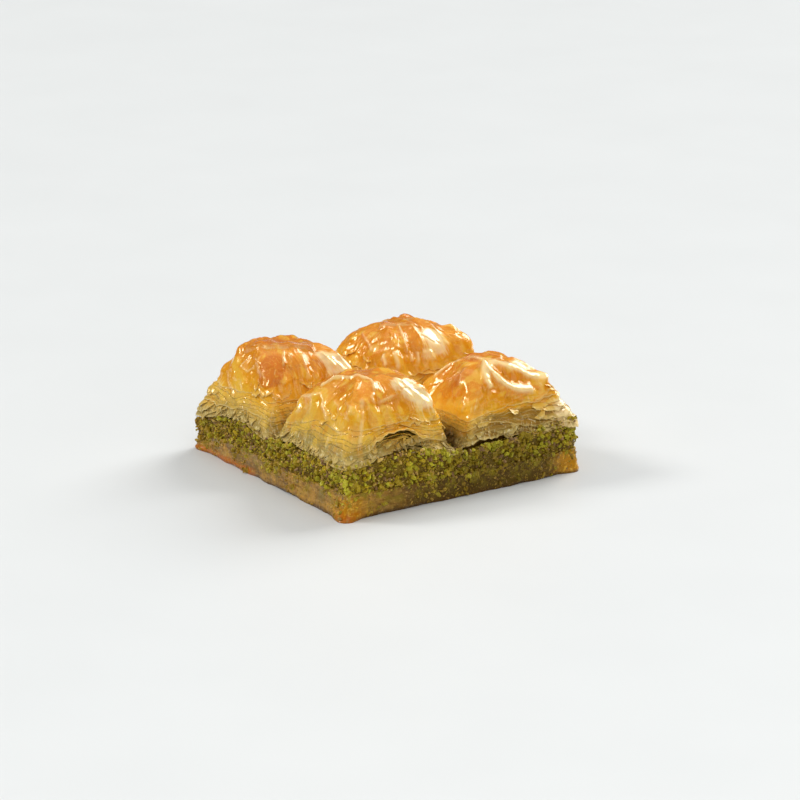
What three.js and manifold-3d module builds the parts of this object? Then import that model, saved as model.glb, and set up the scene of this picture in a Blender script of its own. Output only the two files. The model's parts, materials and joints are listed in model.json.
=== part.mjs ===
// A square of baklava: a syrup-soaked lower stack of filo, a layer of ground pistachio,
// and an upper stack of filo that is cut through in a cross, so that it rises in baking
// as four separate mounds on one shared base.
//
// Frame: millimetres, +Z up, origin in the middle of the flat underside,
// X and Y along the cut sides of the square.

import * as THREE from "three";
import { mergeVertices } from "three/addons/utils/BufferGeometryUtils.js";
import Module from "manifold-3d";

const wasm = await Module();
wasm.setup();

// ---- Driving dimensions ----

const SIDE = 90; // length of each cut side
const BASE_TOP = 7.4; // height of the soaked lower stack
const FILLING_TOP = 15.4; // height of the pistachio layer's top
const CROWN = 39.5; // usual height of a mound
const CUT_WIDTH = 1.6; // width of the cross cut where the mounds meet the filling
const LAYER_GAP = 0.3; // air left between neighbouring solids

const HALF = SIDE / 2;
const MOUND_HALF = (HALF - CUT_WIDTH / 2) / 2; // half of one mound's own side
const MOUND_MIDDLE = HALF - MOUND_HALF; // from the cross cut to a mound's middle

// One corner of the square is pressed flatter, and the opposite cut corner stands a little proud.
const PRESSED_CORNER = [-HALF, HALF];
const PRESSED_REACH = 11;
const PRESSED_BASE = 1.8;
const PRESSED_FILLING = 4.6;
const PROUD_CORNER = [-HALF, -HALF];
const PROUD_REACH = 16;
const PROUD_HEIGHT = 1.1;
const CUT_DIP = 1.5; // the knife pushes the filling down along the cross cut
const CUT_DIP_REACH = 7;

// Each mound: the side of the cross that it stands on, its height, how far its crown drifts from
// its middle, and for its four corner directions how boxy its shoulder is, how far the flank draws
// in above the skirt and how far the skirt's corner reaches out. The corners go round from +X+Y, by
// way of -X+Y and -X-Y, to +X-Y.
const MOUNDS = [
  {
    name: "crust_near",
    stands: [-1, -1],
    crown: CROWN + 0.4,
    drift: [1, -1],
    shoulder: [2.7, 2.7, 3.1, 4.6],
    drawIn: [0.02, 0.02, 0.06, 0.11],
    reachOut: [0, 0.2, 0.6, 0.3],
  },
  {
    name: "crust_right",
    stands: [1, -1],
    crown: CROWN - 2.1,
    drift: [1.5, -1],
    shoulder: [2.8, 2.1, 3.2, 2.7],
    drawIn: [0.03, 0.03, 0.03, 0.06],
    reachOut: [0.4, 0.1, 0, 1.1],
  },
  {
    name: "crust_left",
    stands: [-1, 1],
    crown: CROWN - 0.4,
    drift: [-2, 1.5],
    shoulder: [2.6, 2.7, 2.9, 3.7],
    drawIn: [0.02, 0.02, 0.04, 0.02],
    reachOut: [0.3, 2.4, 0.4, 0],
  },
  {
    name: "crust_far",
    stands: [1, 1],
    crown: CROWN - 0.8,
    drift: [-1.5, 1],
    shoulder: [2.9, 2.8, 2.7, 3.7],
    drawIn: [0.03, 0.04, 0.03, 0.03],
    reachOut: [0.6, 0.2, 0, 0.2],
  },
];

// Where sheets have come apart and left an open mouth in a flank: its direction from the mound's
// middle in degrees, its share of the mound's height, half its width in degrees and its depth.
const MOUTHS = {
  crust_near: [{ direction: -80, height: 0.17, halfWidth: 22, depth: 2.2 }],
  crust_right: [{ direction: -104, height: 0.05, halfWidth: 16, depth: 1.6 }],
  crust_left: [{ direction: 165, height: 0.12, halfWidth: 14, depth: 1.4 }],
  crust_far: [{ direction: 60, height: 0.16, halfWidth: 18, depth: 1.6 }],
};
const MOUTH_HEIGHT = 0.07; // half the share of the mound's height that a mouth takes

// Pleats of the top sheets on each mound: from one point to another, measured from the mound's
// middle, with a height and a half width.
const PLEATS = {
  crust_near: [
    { from: [-4, -2], to: [-19, -18], height: 1.1, width: 1.8 },
    { from: [-15, 7], to: [-19, -3], height: 1.7, width: 3.4 },
    { from: [2, -6], to: [8, -20], height: 1.0, width: 2.0 },
    { from: [6, 2], to: [18, -5], height: 0.9, width: 2.2 },
    { from: [-3, 6], to: [4, 19], height: 0.9, width: 2.0 },
  ],
  crust_right: [
    { from: [-6, 3], to: [-15, -12], height: 1.2, width: 2.2 },
    { from: [2, 1], to: [4, -16], height: 1.3, width: 1.8 },
    { from: [4, 4], to: [15, -11], height: 1.3, width: 2.0 },
    { from: [7, 7], to: [20, 0], height: 1.1, width: 2.0 },
    { from: [-8, 8], to: [-6, 19], height: 0.9, width: 2.0 },
  ],
  crust_left: [
    { from: [-12, 12], to: [13, 9], height: 1.5, width: 3.2 },
    { from: [-9, 4], to: [-17, -10], height: 1.0, width: 2.0 },
    { from: [7, 3], to: [12, -15], height: 1.2, width: 2.0 },
    { from: [-2, -3], to: [-5, -18], height: 0.9, width: 2.4 },
  ],
  crust_far: [
    { from: [-1, 5], to: [-2, -17], height: 1.3, width: 1.3 },
    { from: [-7, 2], to: [-12, -14], height: 1.0, width: 1.6 },
    { from: [5, 0], to: [7, -16], height: 1.1, width: 1.5 },
    { from: [9, 2], to: [16, -12], height: 1.1, width: 1.6 },
    { from: [6, 9], to: [18, 10], height: 1.4, width: 2.4 },
    { from: [14, -8], to: [17, -12], height: 2.6, width: 2.4 },
  ],
};

// ---- Small helpers ----

const lerp = THREE.MathUtils.lerp;
const smoothstep = THREE.MathUtils.smoothstep;

// A seeded draw, so that every run gives the same crumbs.
function draws(seed) {
  let state = seed >>> 0;
  return () => {
    state = (Math.imul(state, 1664525) + 1013904223) >>> 0;
    return state / 2 ** 32;
  };
}

// A smooth bump pattern from -1 to 1 in three directions; `scale` is about the size of one bump.
function ripple(x, y, z, scale, seed) {
  const k = Math.PI / scale;
  const wave = (a, b, c, phase) => Math.sin(k * (a * x + b * y + c * z) + phase * seed);
  return (
    (wave(1.0, 0.35, 0.7, 1.7) + wave(-0.6, 0.9, -0.4, 2.9) + wave(0.25, -1.1, 0.9, 4.1)) / 3
  );
}

// How near a point of the plan is to a corner, from 0 far off to 1 on it.
function nearness([x, y], [cornerX, cornerY], reach) {
  return Math.exp(-((x - cornerX) ** 2 + (y - cornerY) ** 2) / (2 * reach ** 2));
}

function cutNearness(x, y) {
  return Math.exp(-((x / CUT_DIP_REACH) ** 2)) + Math.exp(-((y / CUT_DIP_REACH) ** 2));
}

function baseTop(x, y) {
  return (
    BASE_TOP +
    PROUD_HEIGHT * nearness([x, y], PROUD_CORNER, PROUD_REACH) -
    PRESSED_BASE * nearness([x, y], PRESSED_CORNER, PRESSED_REACH) +
    0.35 * ripple(x, y, 0, 17, 1)
  );
}

function fillingTop(x, y) {
  return (
    FILLING_TOP +
    PROUD_HEIGHT * nearness([x, y], PROUD_CORNER, PROUD_REACH) -
    PRESSED_FILLING * nearness([x, y], PRESSED_CORNER, PRESSED_REACH) -
    CUT_DIP * cutNearness(x, y) +
    0.45 * ripple(x, y, 0, 19, 2)
  );
}

// The geometry's vertices moved by a function, as one closed mesh of bare positions.
function reshaped(geometry, move) {
  geometry.deleteAttribute("normal");
  geometry.deleteAttribute("uv");
  const merged = mergeVertices(geometry, 1e-4);
  const position = merged.getAttribute("position");
  const point = new THREE.Vector3();
  for (let i = 0; i < position.count; i += 1) {
    point.fromBufferAttribute(position, i);
    move(point);
    position.setXYZ(i, point.x, point.y, point.z);
  }
  return merged;
}

function toSolid(geometry) {
  return new wasm.Manifold(
    new wasm.Mesh({
      numProp: 3,
      vertProperties: new Float32Array(geometry.getAttribute("position").array),
      triVerts: new Uint32Array(geometry.index.array),
    }),
  );
}

function toGeometry(solid) {
  const mesh = solid.getMesh();
  const geometry = new THREE.BufferGeometry();
  geometry.setAttribute("position", new THREE.BufferAttribute(mesh.vertProperties, 3));
  geometry.setIndex(new THREE.BufferAttribute(mesh.triVerts, 1));
  geometry.computeVertexNormals();
  return geometry;
}

// The largest body of a solid, without the loose scraps that a cut can leave.
function largestBody(solid) {
  return solid.decompose().reduce((best, body) => (body.volume() > best.volume() ? body : best));
}

// A block over the square, with `rows` cells up its sides. `heightAt` gives the height of a plan
// point for a share of the rise, and `growthAt` how far a point of the side stands out.
function block(cells, rows, heightAt, growthAt) {
  const box = new THREE.BoxGeometry(SIDE, SIDE, 1, cells, cells, rows);
  return toSolid(
    reshaped(box, (p) => {
      const rise = p.z + 0.5;
      const onSide = Math.max(Math.abs(p.x), Math.abs(p.y)) > HALF - 1e-3;
      p.z = heightAt(p.x, p.y, rise);
      if (!onSide) return;
      const grow = 1 + growthAt(p, rise) / HALF;
      p.x *= grow;
      p.y *= grow;
    }),
  );
}

// What stands on a layer: the raw solid less all that lies under the layer's top and the gap.
const UNDERCUT_MARGIN = 6;

function restingOn(topAt, cells, raw) {
  const under = block(
    cells,
    1,
    (x, y, rise) => (rise < 0.5 ? -1 : topAt(x, y) + LAYER_GAP),
    () => UNDERCUT_MARGIN,
  );
  return largestBody(raw.subtract(under));
}

// ---- Lower stack of soaked filo ----

const BASE_CELLS = 15; // cells along a side
const BASE_ROWS = 4; // cells up a side
const FOOT_INSET = 0.4; // the lowest edge curls in and up off the plate
const FOOT_LIFT = 0.8;
const SYRUP_FOOT = 1.1; // syrup makes the foot wider than the top
const SIDE_WAVE = 0.35; // how far the cut sides wander
const SHEET_STEP = 0.22; // how far every other bunch of sheets stands out of the cut side

function buildBase() {
  const heightAt = (x, y, rise) => {
    const row = Math.round(rise * BASE_ROWS);
    return row === 0 ? 0 : lerp(FOOT_LIFT, baseTop(x, y), (row - 1) / (BASE_ROWS - 1));
  };
  const growthAt = (p, rise) => {
    const row = Math.round(rise * BASE_ROWS);
    const foot = row === 0 ? -FOOT_INSET : SYRUP_FOOT * (1 - rise) ** 2;
    const step = row % 2 ? SHEET_STEP : -SHEET_STEP;
    return foot + step + SIDE_WAVE * ripple(p.x, p.y, 0, 13, 3);
  };
  return block(BASE_CELLS, BASE_ROWS, heightAt, growthAt);
}

// ---- Ground pistachio ----

const FILLING_CELLS = 18;
const FILLING_ROWS = 4;
const FILLING_ROOT = 3; // the raw block starts below the base's top, where it is cut off
const CRUMBLE = 0.45; // how rough the cut face of the filling is
const FILLING_INSET = 0.25;
const NIB_COUNT = 92; // chopped nuts that stand out of the cut faces
const NIB_RADIUS = [0.8, 1.45];

// A chopped nut: a lopsided twenty-sided lump.
function buildNib(draw, radius) {
  const stretch = [0.8 + 0.5 * draw(), 0.8 + 0.5 * draw(), 0.7 + 0.4 * draw()];
  const lump = reshaped(new THREE.IcosahedronGeometry(radius, 0), (p) => {
    const swell = 0.85 + 0.3 * draw();
    p.set(p.x * stretch[0] * swell, p.y * stretch[1] * swell, p.z * stretch[2] * swell);
  });
  return toSolid(lump);
}

function buildFilling() {
  const draw = draws(41);
  const core = block(
    FILLING_CELLS,
    FILLING_ROWS,
    (x, y, rise) => lerp(FILLING_ROOT, fillingTop(x, y), rise),
    () => CRUMBLE * (2 * draw() - 1) - FILLING_INSET,
  );
  const lumps = [core];
  for (let i = 0; i < NIB_COUNT; i += 1) {
    const radius = lerp(NIB_RADIUS[0], NIB_RADIUS[1], draw() ** 2);
    const along = lerp(1.5 - HALF, HALF - 1.5, (Math.floor(i / 4) + draw()) / (NIB_COUNT / 4));
    const depth = HALF - lerp(0.3, 0.8, draw());
    const sides = [
      [along, -depth],
      [depth, along],
      [-along, depth],
      [-depth, -along],
    ];
    const [x, y] = sides[i % sides.length];
    const low = baseTop(x, y) + radius;
    const high = fillingTop(x, y) - 1.1 * radius;
    const z = lerp(low, high, Math.sqrt(draw()));
    lumps.push(buildNib(draw, radius).translate([x, y, z]));
  }
  return restingOn(baseTop, BASE_CELLS, wasm.Manifold.union(lumps));
}

// ---- The four risen mounds of upper filo ----

const COLUMNS = 54; // cells round a mound
const CROWN_RINGS = [0, 0.13, 0.27, 0.4, 0.52, 0.63, 0.73]; // radius of each ring, crown to shoulder
const FLANK_RINGS = [0.8, 0.835, 0.875, 0.9, 0.935, 0.955, 0.98, 1];
const RINGS = [...CROWN_RINGS, ...FLANK_RINGS];
const UNDER_RINGS = 2; // rings of the raw mound's underside, and how deep in the filling it lies
const UNDER_DEPTH = 3;
const PLAN_CORNER = [2.4, 18]; // exponent of the plan's rounded square, at the crown and the skirt
const CROWN_FLATNESS = 1.25;
const DRAW_IN_HEIGHT = 0.14; // share of the height over which the skirt flares
const LEDGE = 0.7; // how far the edges of the sheets stand out of the flank
const LEDGE_DIP = -0.8; // how far the flank goes in between two edges, for each unit out
const LEDGES_FROM = [0.7, 0.8]; // radius over which the ledges begin, and end again at the skirt
const LEDGES_TO = [0.97, 1];
const SKIRT_FROM = [0.86, 0.97]; // radius over which the skirt's corners begin to reach out
const SKIRT_SINK = 1.2; // the raw mound starts inside the filling, which then cuts it
const SKIRT_SINK_HEIGHT = 0.05;
const SKIRT_WAVE = 0.45; // how far the skirt wanders in plan, from this radius outwards
const SKIRT_WAVE_FROM = 0.5;
const PLEAT_HEIGHTS = [0.15, 0.6]; // share of the height over which the pleats fade in
const PLEAT_SHARE = 0.9; // the crown is this much lower, to make up for the pleats on it

// A value for a direction, from the values at the four corner directions.
function byCorner(values, angle) {
  return values.reduce((sum, value, corner) => {
    const facing = Math.max(0, Math.cos(angle - (Math.PI / 4) * (2 * corner + 1)));
    return sum + value * facing ** 2;
  }, 0);
}

// How high the pleats lift the top sheet at a point of the mound's plan.
function pleatLift(name, x, y) {
  return PLEATS[name].reduce((lift, { from, to, height, width }) => {
    const run = [to[0] - from[0], to[1] - from[1]];
    const reach = run[0] ** 2 + run[1] ** 2;
    const t = ((x - from[0]) * run[0] + (y - from[1]) * run[1]) / reach;
    const along = THREE.MathUtils.clamp(t, 0, 1);
    const off = Math.hypot(x - from[0] - along * run[0], y - from[1] - along * run[1]);
    return lift + height * Math.exp(-((off / width) ** 1.5));
  }, 0);
}

// How deep the open mouths between sheets are at a point of the flank.
function mouthDepth(name, angle, height) {
  return MOUTHS[name].reduce((sum, mouth) => {
    const aside = angle - THREE.MathUtils.degToRad(mouth.direction);
    const turn = Math.atan2(Math.sin(aside), Math.cos(aside));
    const across = turn / THREE.MathUtils.degToRad(mouth.halfWidth);
    const up = (height - mouth.height) / MOUTH_HEIGHT;
    return sum + mouth.depth * Math.exp(-(across ** 2) - up ** 2);
  }, 0);
}

// A point of the mound's outer surface, for a direction and a share of the plan's radius.
function moundPoint(mound, angle, radius, ring) {
  const [cos, sin] = [Math.cos(angle), Math.sin(angle)];
  const shoulder = byCorner(mound.shoulder, angle);
  const height = Math.max(0, 1 - radius ** shoulder) ** (1 / CROWN_FLATNESS);
  const corner = lerp(...PLAN_CORNER, radius ** 2);
  const square = (Math.abs(cos) ** corner + Math.abs(sin) ** corner) ** (-1 / corner);
  const drawIn = byCorner(mound.drawIn, angle) * smoothstep(height, 0, DRAW_IN_HEIGHT);
  const onFlank = smoothstep(radius, ...LEDGES_FROM) * (1 - smoothstep(radius, ...LEDGES_TO));
  const uneven = 0.6 + 0.6 * ripple(9 * cos, 9 * sin, ring, 3, 7);
  const ledge = LEDGE * onFlank * (ring % 2 ? 1 : LEDGE_DIP) * uneven;
  const wander = SKIRT_WAVE * ripple(20 * cos, 20 * sin, 0, 7, mound.crown);
  const wave = wander * smoothstep(radius, SKIRT_WAVE_FROM, 1);
  const skirt = byCorner(mound.reachOut, angle) * smoothstep(radius, ...SKIRT_FROM);
  const mouth = mouthDepth(mound.name, angle, height);
  const reach = MOUND_HALF * radius * square * (1 - drawIn) + ledge + wave + skirt - mouth;
  const x = mound.drift[0] * (1 - radius ** 2) + reach * cos;
  const y = mound.drift[1] * (1 - radius ** 2) + reach * sin;
  const [worldX, worldY] = [mound.stands[0] * MOUND_MIDDLE + x, mound.stands[1] * MOUND_MIDDLE + y];
  const foot = fillingTop(worldX, worldY);
  const sink = SKIRT_SINK * (1 - smoothstep(height, 0, SKIRT_SINK_HEIGHT));
  const lift = (pleatLift(mound.name, x, y) - PLEAT_SHARE) * smoothstep(height, ...PLEAT_HEIGHTS);
  return new THREE.Vector3(worldX, worldY, foot - sink + (mound.crown - foot) * height + lift);
}

function buildMound(mound) {
  const rows = RINGS.length - 1 + UNDER_RINGS;
  const ball = new THREE.SphereGeometry(1, COLUMNS, rows).rotateX(Math.PI / 2);
  const raw = reshaped(ball, (p) => {
    const angle = Math.atan2(p.y, p.x);
    const row = Math.round((Math.acos(THREE.MathUtils.clamp(p.z, -1, 1)) / Math.PI) * rows);
    if (row < RINGS.length) {
      p.copy(moundPoint(mound, angle, RINGS[row], row));
      return;
    }
    const inward = (row - RINGS.length + 1) / UNDER_RINGS;
    const skirt = moundPoint(mound, angle, 1, RINGS.length - 1);
    const [middleX, middleY] = mound.stands.map((side) => side * MOUND_MIDDLE);
    p.lerpVectors(skirt, new THREE.Vector3(middleX, middleY, FILLING_TOP - UNDER_DEPTH), inward);
  });
  return restingOn(fillingTop, FILLING_CELLS, toSolid(raw));
}

// ---- Finishes and the finished group ----

const soakedFilo = new THREE.MeshStandardMaterial({ color: 0x94652c, roughness: 0.4 });
const groundPistachio = new THREE.MeshStandardMaterial({ color: 0x7c7a22, roughness: 0.7 });
const goldenFilo = new THREE.MeshStandardMaterial({ color: 0xe0993a, roughness: 0.25 });

function named(name, solid, material) {
  const mesh = new THREE.Mesh(toGeometry(solid), material);
  mesh.name = name;
  return mesh;
}

const baklava = new THREE.Group();
baklava.add(named("base_filo", buildBase(), soakedFilo));
baklava.add(named("pistachio_filling", buildFilling(), groundPistachio));
for (const mound of MOUNDS) {
  baklava.add(named(mound.name, buildMound(mound), goldenFilo));
}

export default baklava;
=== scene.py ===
# %% [markdown]
# # A square of pistachio baklava
#
# A baker lays a soaked stack of filo, a layer of ground pistachio and an upper stack of filo in a
# tray, cuts the upper stack in a cross, bakes it and pours hot syrup over it. The upper sheets rise
# into four mounds, and the layers below stay flat. This lesson dresses the solids of that square in
# what makes it look like food: sheet edges, wrinkled skin, chopped nuts and syrup.
#
# The packed solids come first. They are the fixed frame: every piece below is made in the same
# place and at the same size as the solid that it stands for.

# %% The packed frame
import json
import math

import bmesh
import bpy
import numpy as np
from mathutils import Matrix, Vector

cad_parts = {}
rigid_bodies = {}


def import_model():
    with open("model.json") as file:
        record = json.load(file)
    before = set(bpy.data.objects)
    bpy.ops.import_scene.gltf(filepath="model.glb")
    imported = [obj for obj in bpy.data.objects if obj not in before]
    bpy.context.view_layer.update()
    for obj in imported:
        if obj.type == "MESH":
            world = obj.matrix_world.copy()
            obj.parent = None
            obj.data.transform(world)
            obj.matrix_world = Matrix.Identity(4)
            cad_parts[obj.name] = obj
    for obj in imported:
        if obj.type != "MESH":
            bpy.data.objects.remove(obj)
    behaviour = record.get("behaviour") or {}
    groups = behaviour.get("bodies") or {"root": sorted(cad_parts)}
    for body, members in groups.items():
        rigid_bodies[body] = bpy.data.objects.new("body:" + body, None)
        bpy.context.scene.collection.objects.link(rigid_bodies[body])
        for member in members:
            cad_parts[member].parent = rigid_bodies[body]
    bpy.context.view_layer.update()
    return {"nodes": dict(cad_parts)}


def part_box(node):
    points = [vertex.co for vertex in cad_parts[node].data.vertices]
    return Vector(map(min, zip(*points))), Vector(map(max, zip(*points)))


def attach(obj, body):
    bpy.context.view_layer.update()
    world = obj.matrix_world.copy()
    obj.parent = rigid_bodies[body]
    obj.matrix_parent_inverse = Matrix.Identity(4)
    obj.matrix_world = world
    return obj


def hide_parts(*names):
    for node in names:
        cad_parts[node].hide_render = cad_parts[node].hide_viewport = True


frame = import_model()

print("solids:", ", ".join(sorted(frame["nodes"])))

# %% [markdown]
# ## Sizes
#
# All lengths are millimetres until a mesh is written, because a filo sheet of 0.15 is easier to
# think about than one of 0.00015. The driving sizes are the ones that the solids were made with.

# %% Driving sizes
MM = 0.001  # metres in a millimetre

SIDE = 90.0  # cut side of the square
BASE_TOP = 7.4  # top of the soaked stack
FILLING_TOP = 15.4  # top of the nuts
CROWN = 39.5  # usual height of a mound
CUT_WIDTH = 1.6  # the cross cut where the mounds meet the nuts

HALF = SIDE / 2
MOUND_HALF = (HALF - CUT_WIDTH / 2) / 2
MOUND_MIDDLE = HALF - MOUND_HALF

low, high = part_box("base_filo")
print(f"soaked stack is {(high.x - low.x) / MM:.1f} mm over its syrup foot, cut side {SIDE:.0f} mm")

# %% [markdown]
# ## Camera, floor and light
#
# The camera stands where a photographer would: a little above the pastry and some way off, so that
# the square's sides hardly converge. Everything else is judged through this camera, so it is made
# first. It is given by two angles, a distance and the point that it looks at.

# %% The camera
CAMERA_TURN = math.radians(-34.1)  # round the square, from straight in front of one side
CAMERA_RISE = math.radians(17.35)
CAMERA_DISTANCE = 12.65 * SIDE
CAMERA_VIEW = math.radians(14.0)
CAMERA_TARGET = np.array([40.5, 51.3, 0.0])

to_camera = np.array([
    math.sin(CAMERA_TURN) * math.cos(CAMERA_RISE),
    -math.cos(CAMERA_TURN) * math.cos(CAMERA_RISE),
    math.sin(CAMERA_RISE),
])
eye = CAMERA_TARGET + CAMERA_DISTANCE * to_camera

lens = bpy.data.cameras.new("camera")
lens.angle = CAMERA_VIEW
camera = bpy.data.objects.new("camera", lens)
camera.location = Vector(eye * MM)
camera.rotation_euler = Vector(-to_camera).to_track_quat("-Z", "Y").to_euler()
bpy.context.scene.collection.objects.link(camera)
bpy.context.scene.camera = camera
print(f"camera {np.linalg.norm(eye) * MM:.2f} m from the square")

# %% [markdown]
# Syrup only looks like syrup when it mirrors something bright. A wide window behind the square to
# the right is mirrored in the glaze of every shoulder that faces it, and a smaller one lights the
# left sides. The sky and the room behind the viewer soften the shadows, and a dim pale world fills
# the rest, as white walls would. Each light is a sun lamp with a wide disc, because something large
# and far lights the whole tabletop evenly.

# %% Windows and surroundings
def add_window(name, right, away, up, disc, power):
    """A far, soft light from a direction as seen by the camera; its disc is in degrees."""
    across = Vector((math.cos(CAMERA_TURN), math.sin(CAMERA_TURN), 0))
    ahead = Vector((-math.sin(CAMERA_TURN), math.cos(CAMERA_TURN), 0))
    toward = across * right + ahead * away + Vector((0, 0, up))
    data = bpy.data.lights.new(name, "SUN")
    data.angle = math.radians(disc)
    data.energy = power
    window = bpy.data.objects.new(name, data)
    window.location = toward
    window.rotation_euler = toward.to_track_quat("Z", "Y").to_euler()
    bpy.context.scene.collection.objects.link(window)


# name, how far to the right, away and up, width of the disc, power
add_window("window_right", 0.57, 0.61, 0.55, 38, 2.5)
add_window("window_left", -0.85, 0.1, 0.62, 16, 1.35)
add_window("skylight", -0.1, 0.0, 1.0, 100, 1.35)
add_window("room_behind", 0.42, -0.8, 0.42, 60, 0.85)

WORLD_COLOUR = (0.97, 0.985, 1.0, 1)
WORLD_STRENGTH = 0.13
world = bpy.data.worlds.new("studio")
world.use_nodes = True
background = world.node_tree.nodes["Background"]
background.inputs["Color"].default_value = WORLD_COLOUR
background.inputs["Strength"].default_value = WORLD_STRENGTH
bpy.context.scene.world = world
bpy.context.scene.view_settings.view_transform = "Standard"
print("lights:", ", ".join(light.name for light in bpy.data.lights))

# %% [markdown]
# ## Shader maths as sums
#
# A finish is a chain of small sums: this noise times that mask, less a bit. Written as nodes and
# links they are hard to read, so one class wraps a socket and lets Python's own operators add the
# Math nodes. Every other kind of node comes from its one method, `node`.

# %% A socket that can be added and multiplied
class Wire:
    """A socket of a finish's node tree. Sums of wires add Math nodes; `node` adds any other."""

    def __init__(self, tree, socket=None):
        self.tree = tree
        self.socket = socket

    def node(self, kind, settings=(), values=(), output=0):
        """Adds a node: its settings first, then a value or a wire for each named socket."""
        made = self.tree.nodes.new(f"ShaderNode{kind}")
        for name, value in dict(settings).items():
            if name == "stops":
                self._set_stops(made.color_ramp, value)
            else:
                setattr(made, name, value)
        for name, value in dict(values).items():
            if isinstance(value, Wire):
                self.tree.links.new(value.socket, made.inputs[name])
            else:
                made.inputs[name].default_value = value
        return Wire(self.tree, made.outputs[output])

    @staticmethod
    def _set_stops(ramp, stops):
        while len(ramp.elements) < len(stops):
            ramp.elements.new(0.5)
        for element, (place, colour) in zip(ramp.elements, stops):
            element.position = place
            element.color = colour

    def _sum(self, operation, first, second):
        return self.node("Math", {"operation": operation}, {0: first, 1: second})

    def __add__(self, other):
        return self._sum("ADD", self, other)

    def __sub__(self, other):
        return self._sum("SUBTRACT", self, other)

    def __rsub__(self, other):
        return self._sum("SUBTRACT", other, self)

    def __mul__(self, other):
        return self._sum("MULTIPLY", self, other)

    __radd__, __rmul__ = __add__, __mul__

    def __abs__(self):
        return self.node("Math", {"operation": "ABSOLUTE"}, {0: self})


print("methods of a wire:", sum(callable(value) for value in vars(Wire).values()))

# %% [markdown]
# Short helpers are used in every finish: a colour from a paint card, a noise of a given size in
# millimetres, a soft step between two values, a blend of two colours, layers of paint over each
# other, a number that was stored on the mesh, and a bump.

# %% Helpers for finishes
def rgb(red, green, blue):
    """A colour written as on a paint card, 0 to 255, as the linear light that a shader uses."""
    share = np.array([red, green, blue]) / 255
    linear = np.where(share <= 0.04045, share / 12.92, ((share + 0.055) / 1.055) ** 2.4)
    return (*[float(value) for value in linear], 1.0)


def noise(start, size, detail=3.0, roughness=0.55, stretch=(1, 1, 1), shift=0.0, on=None):
    """A cloudy pattern from 0 to 1 whose patches are about `size` mm across."""
    place = on or start.node("TexCoord", output="Object")
    values = {"Vector": place, "Location": (shift, shift, shift), "Scale": stretch}
    scaled = start.node("Mapping", {}, values)
    values = {"Vector": scaled, "Scale": 1 / (size * MM), "Detail": detail}
    return start.node("TexNoise", {}, values | {"Roughness": roughness})


def step(value, low_end, high_end):
    """0 at low_end, 1 at high_end and a smooth change between; either may be the larger."""
    values = {"Value": value, "From Min": low_end, "From Max": high_end}
    return value.node("MapRange", {"interpolation_type": "SMOOTHSTEP"}, values)


def blend(share, first, second):
    """The first colour where share is 0, the second where it is 1."""
    return share.node("Mix", {"data_type": "RGBA"}, {0: share, 6: first, 7: second}, output=2)


def painted(colour, layers):
    """A colour with layers of paint over it, each a share and its colour, the last on top."""
    for share, paint in layers:
        colour = blend(share, colour, paint)
    return colour


def stored(start, name, kind="Fac"):
    """A number, or with kind Vector a place, that was stored on the mesh under that name."""
    return start.node("Attribute", {"attribute_name": name}, output=kind)


def new_finish(name, **constants):
    """An empty finish: its material, its Principled shader and the wire that starts its sums."""
    material = bpy.data.materials.new(name)
    material.use_nodes = True
    tree = material.node_tree
    shader = tree.nodes["Principled BSDF"]
    for socket, value in constants.items():
        shader.inputs[socket.replace("_", " ")].default_value = value
    return material, shader, Wire(tree)


def connect(shader, **wires):
    """Links wires to the shader's sockets that may vary over a surface."""
    for socket, wire in wires.items():
        wire.tree.links.new(wire.socket, shader.inputs[socket.replace("_", " ")])


def bump(height, distance, strength=1.0, under=None):
    """The surface's normal, tilted by a height pattern that is `distance` mm deep."""
    values = {"Height": height, "Distance": distance * MM, "Strength": strength}
    if under is not None:
        values["Normal"] = under
    return height.node("Bump", {}, values)


print("mid grey on a paint card is", round(rgb(128, 128, 128)[0], 3), "of white light")

# %% [markdown]
# The floor is a plain pale tabletop. It carries the faintest mottling, so that it reads as a
# surface and not as empty space. It isn't part of the food.

# %% The floor
FLOOR_REACH = 4.0  # metres

floor_finish, shader, start = new_finish("pale_tabletop", Roughness=0.45)
mottled = blend(noise(start, 60, 2), rgb(214, 216, 215), rgb(219, 221, 220))
connect(shader, Base_Color=mottled)

floor_mesh = bpy.data.meshes.new("floor")
corners = [(-1, -1, 0), (1, -1, 0), (1, 1, 0), (-1, 1, 0)]
floor_mesh.from_pydata([tuple(FLOOR_REACH * c for c in p) for p in corners], [], [(0, 1, 2, 3)])
floor_mesh.materials.append(floor_finish)
floor = bpy.data.objects.new("floor", floor_mesh)
bpy.context.scene.collection.objects.link(floor)
print(f"floor {2 * FLOOR_REACH:.0f} m wide")

# %% [markdown]
# ## Random bumps that repeat
#
# Food has no straight line in it, so every shape below is pushed about by noise. Blender has its
# own noise, one point at a time; with half a million points it is quicker to let numpy work out all
# of them together. This is classic gradient noise: each corner of a grid gets a random slope, and a
# point blends the slopes of the eight corners around it. The seed makes every run the same.

# %% Gradient noise in numpy
BUMP_GAIN = 1.7  # brings the blended slopes to about 1 at their largest


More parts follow.
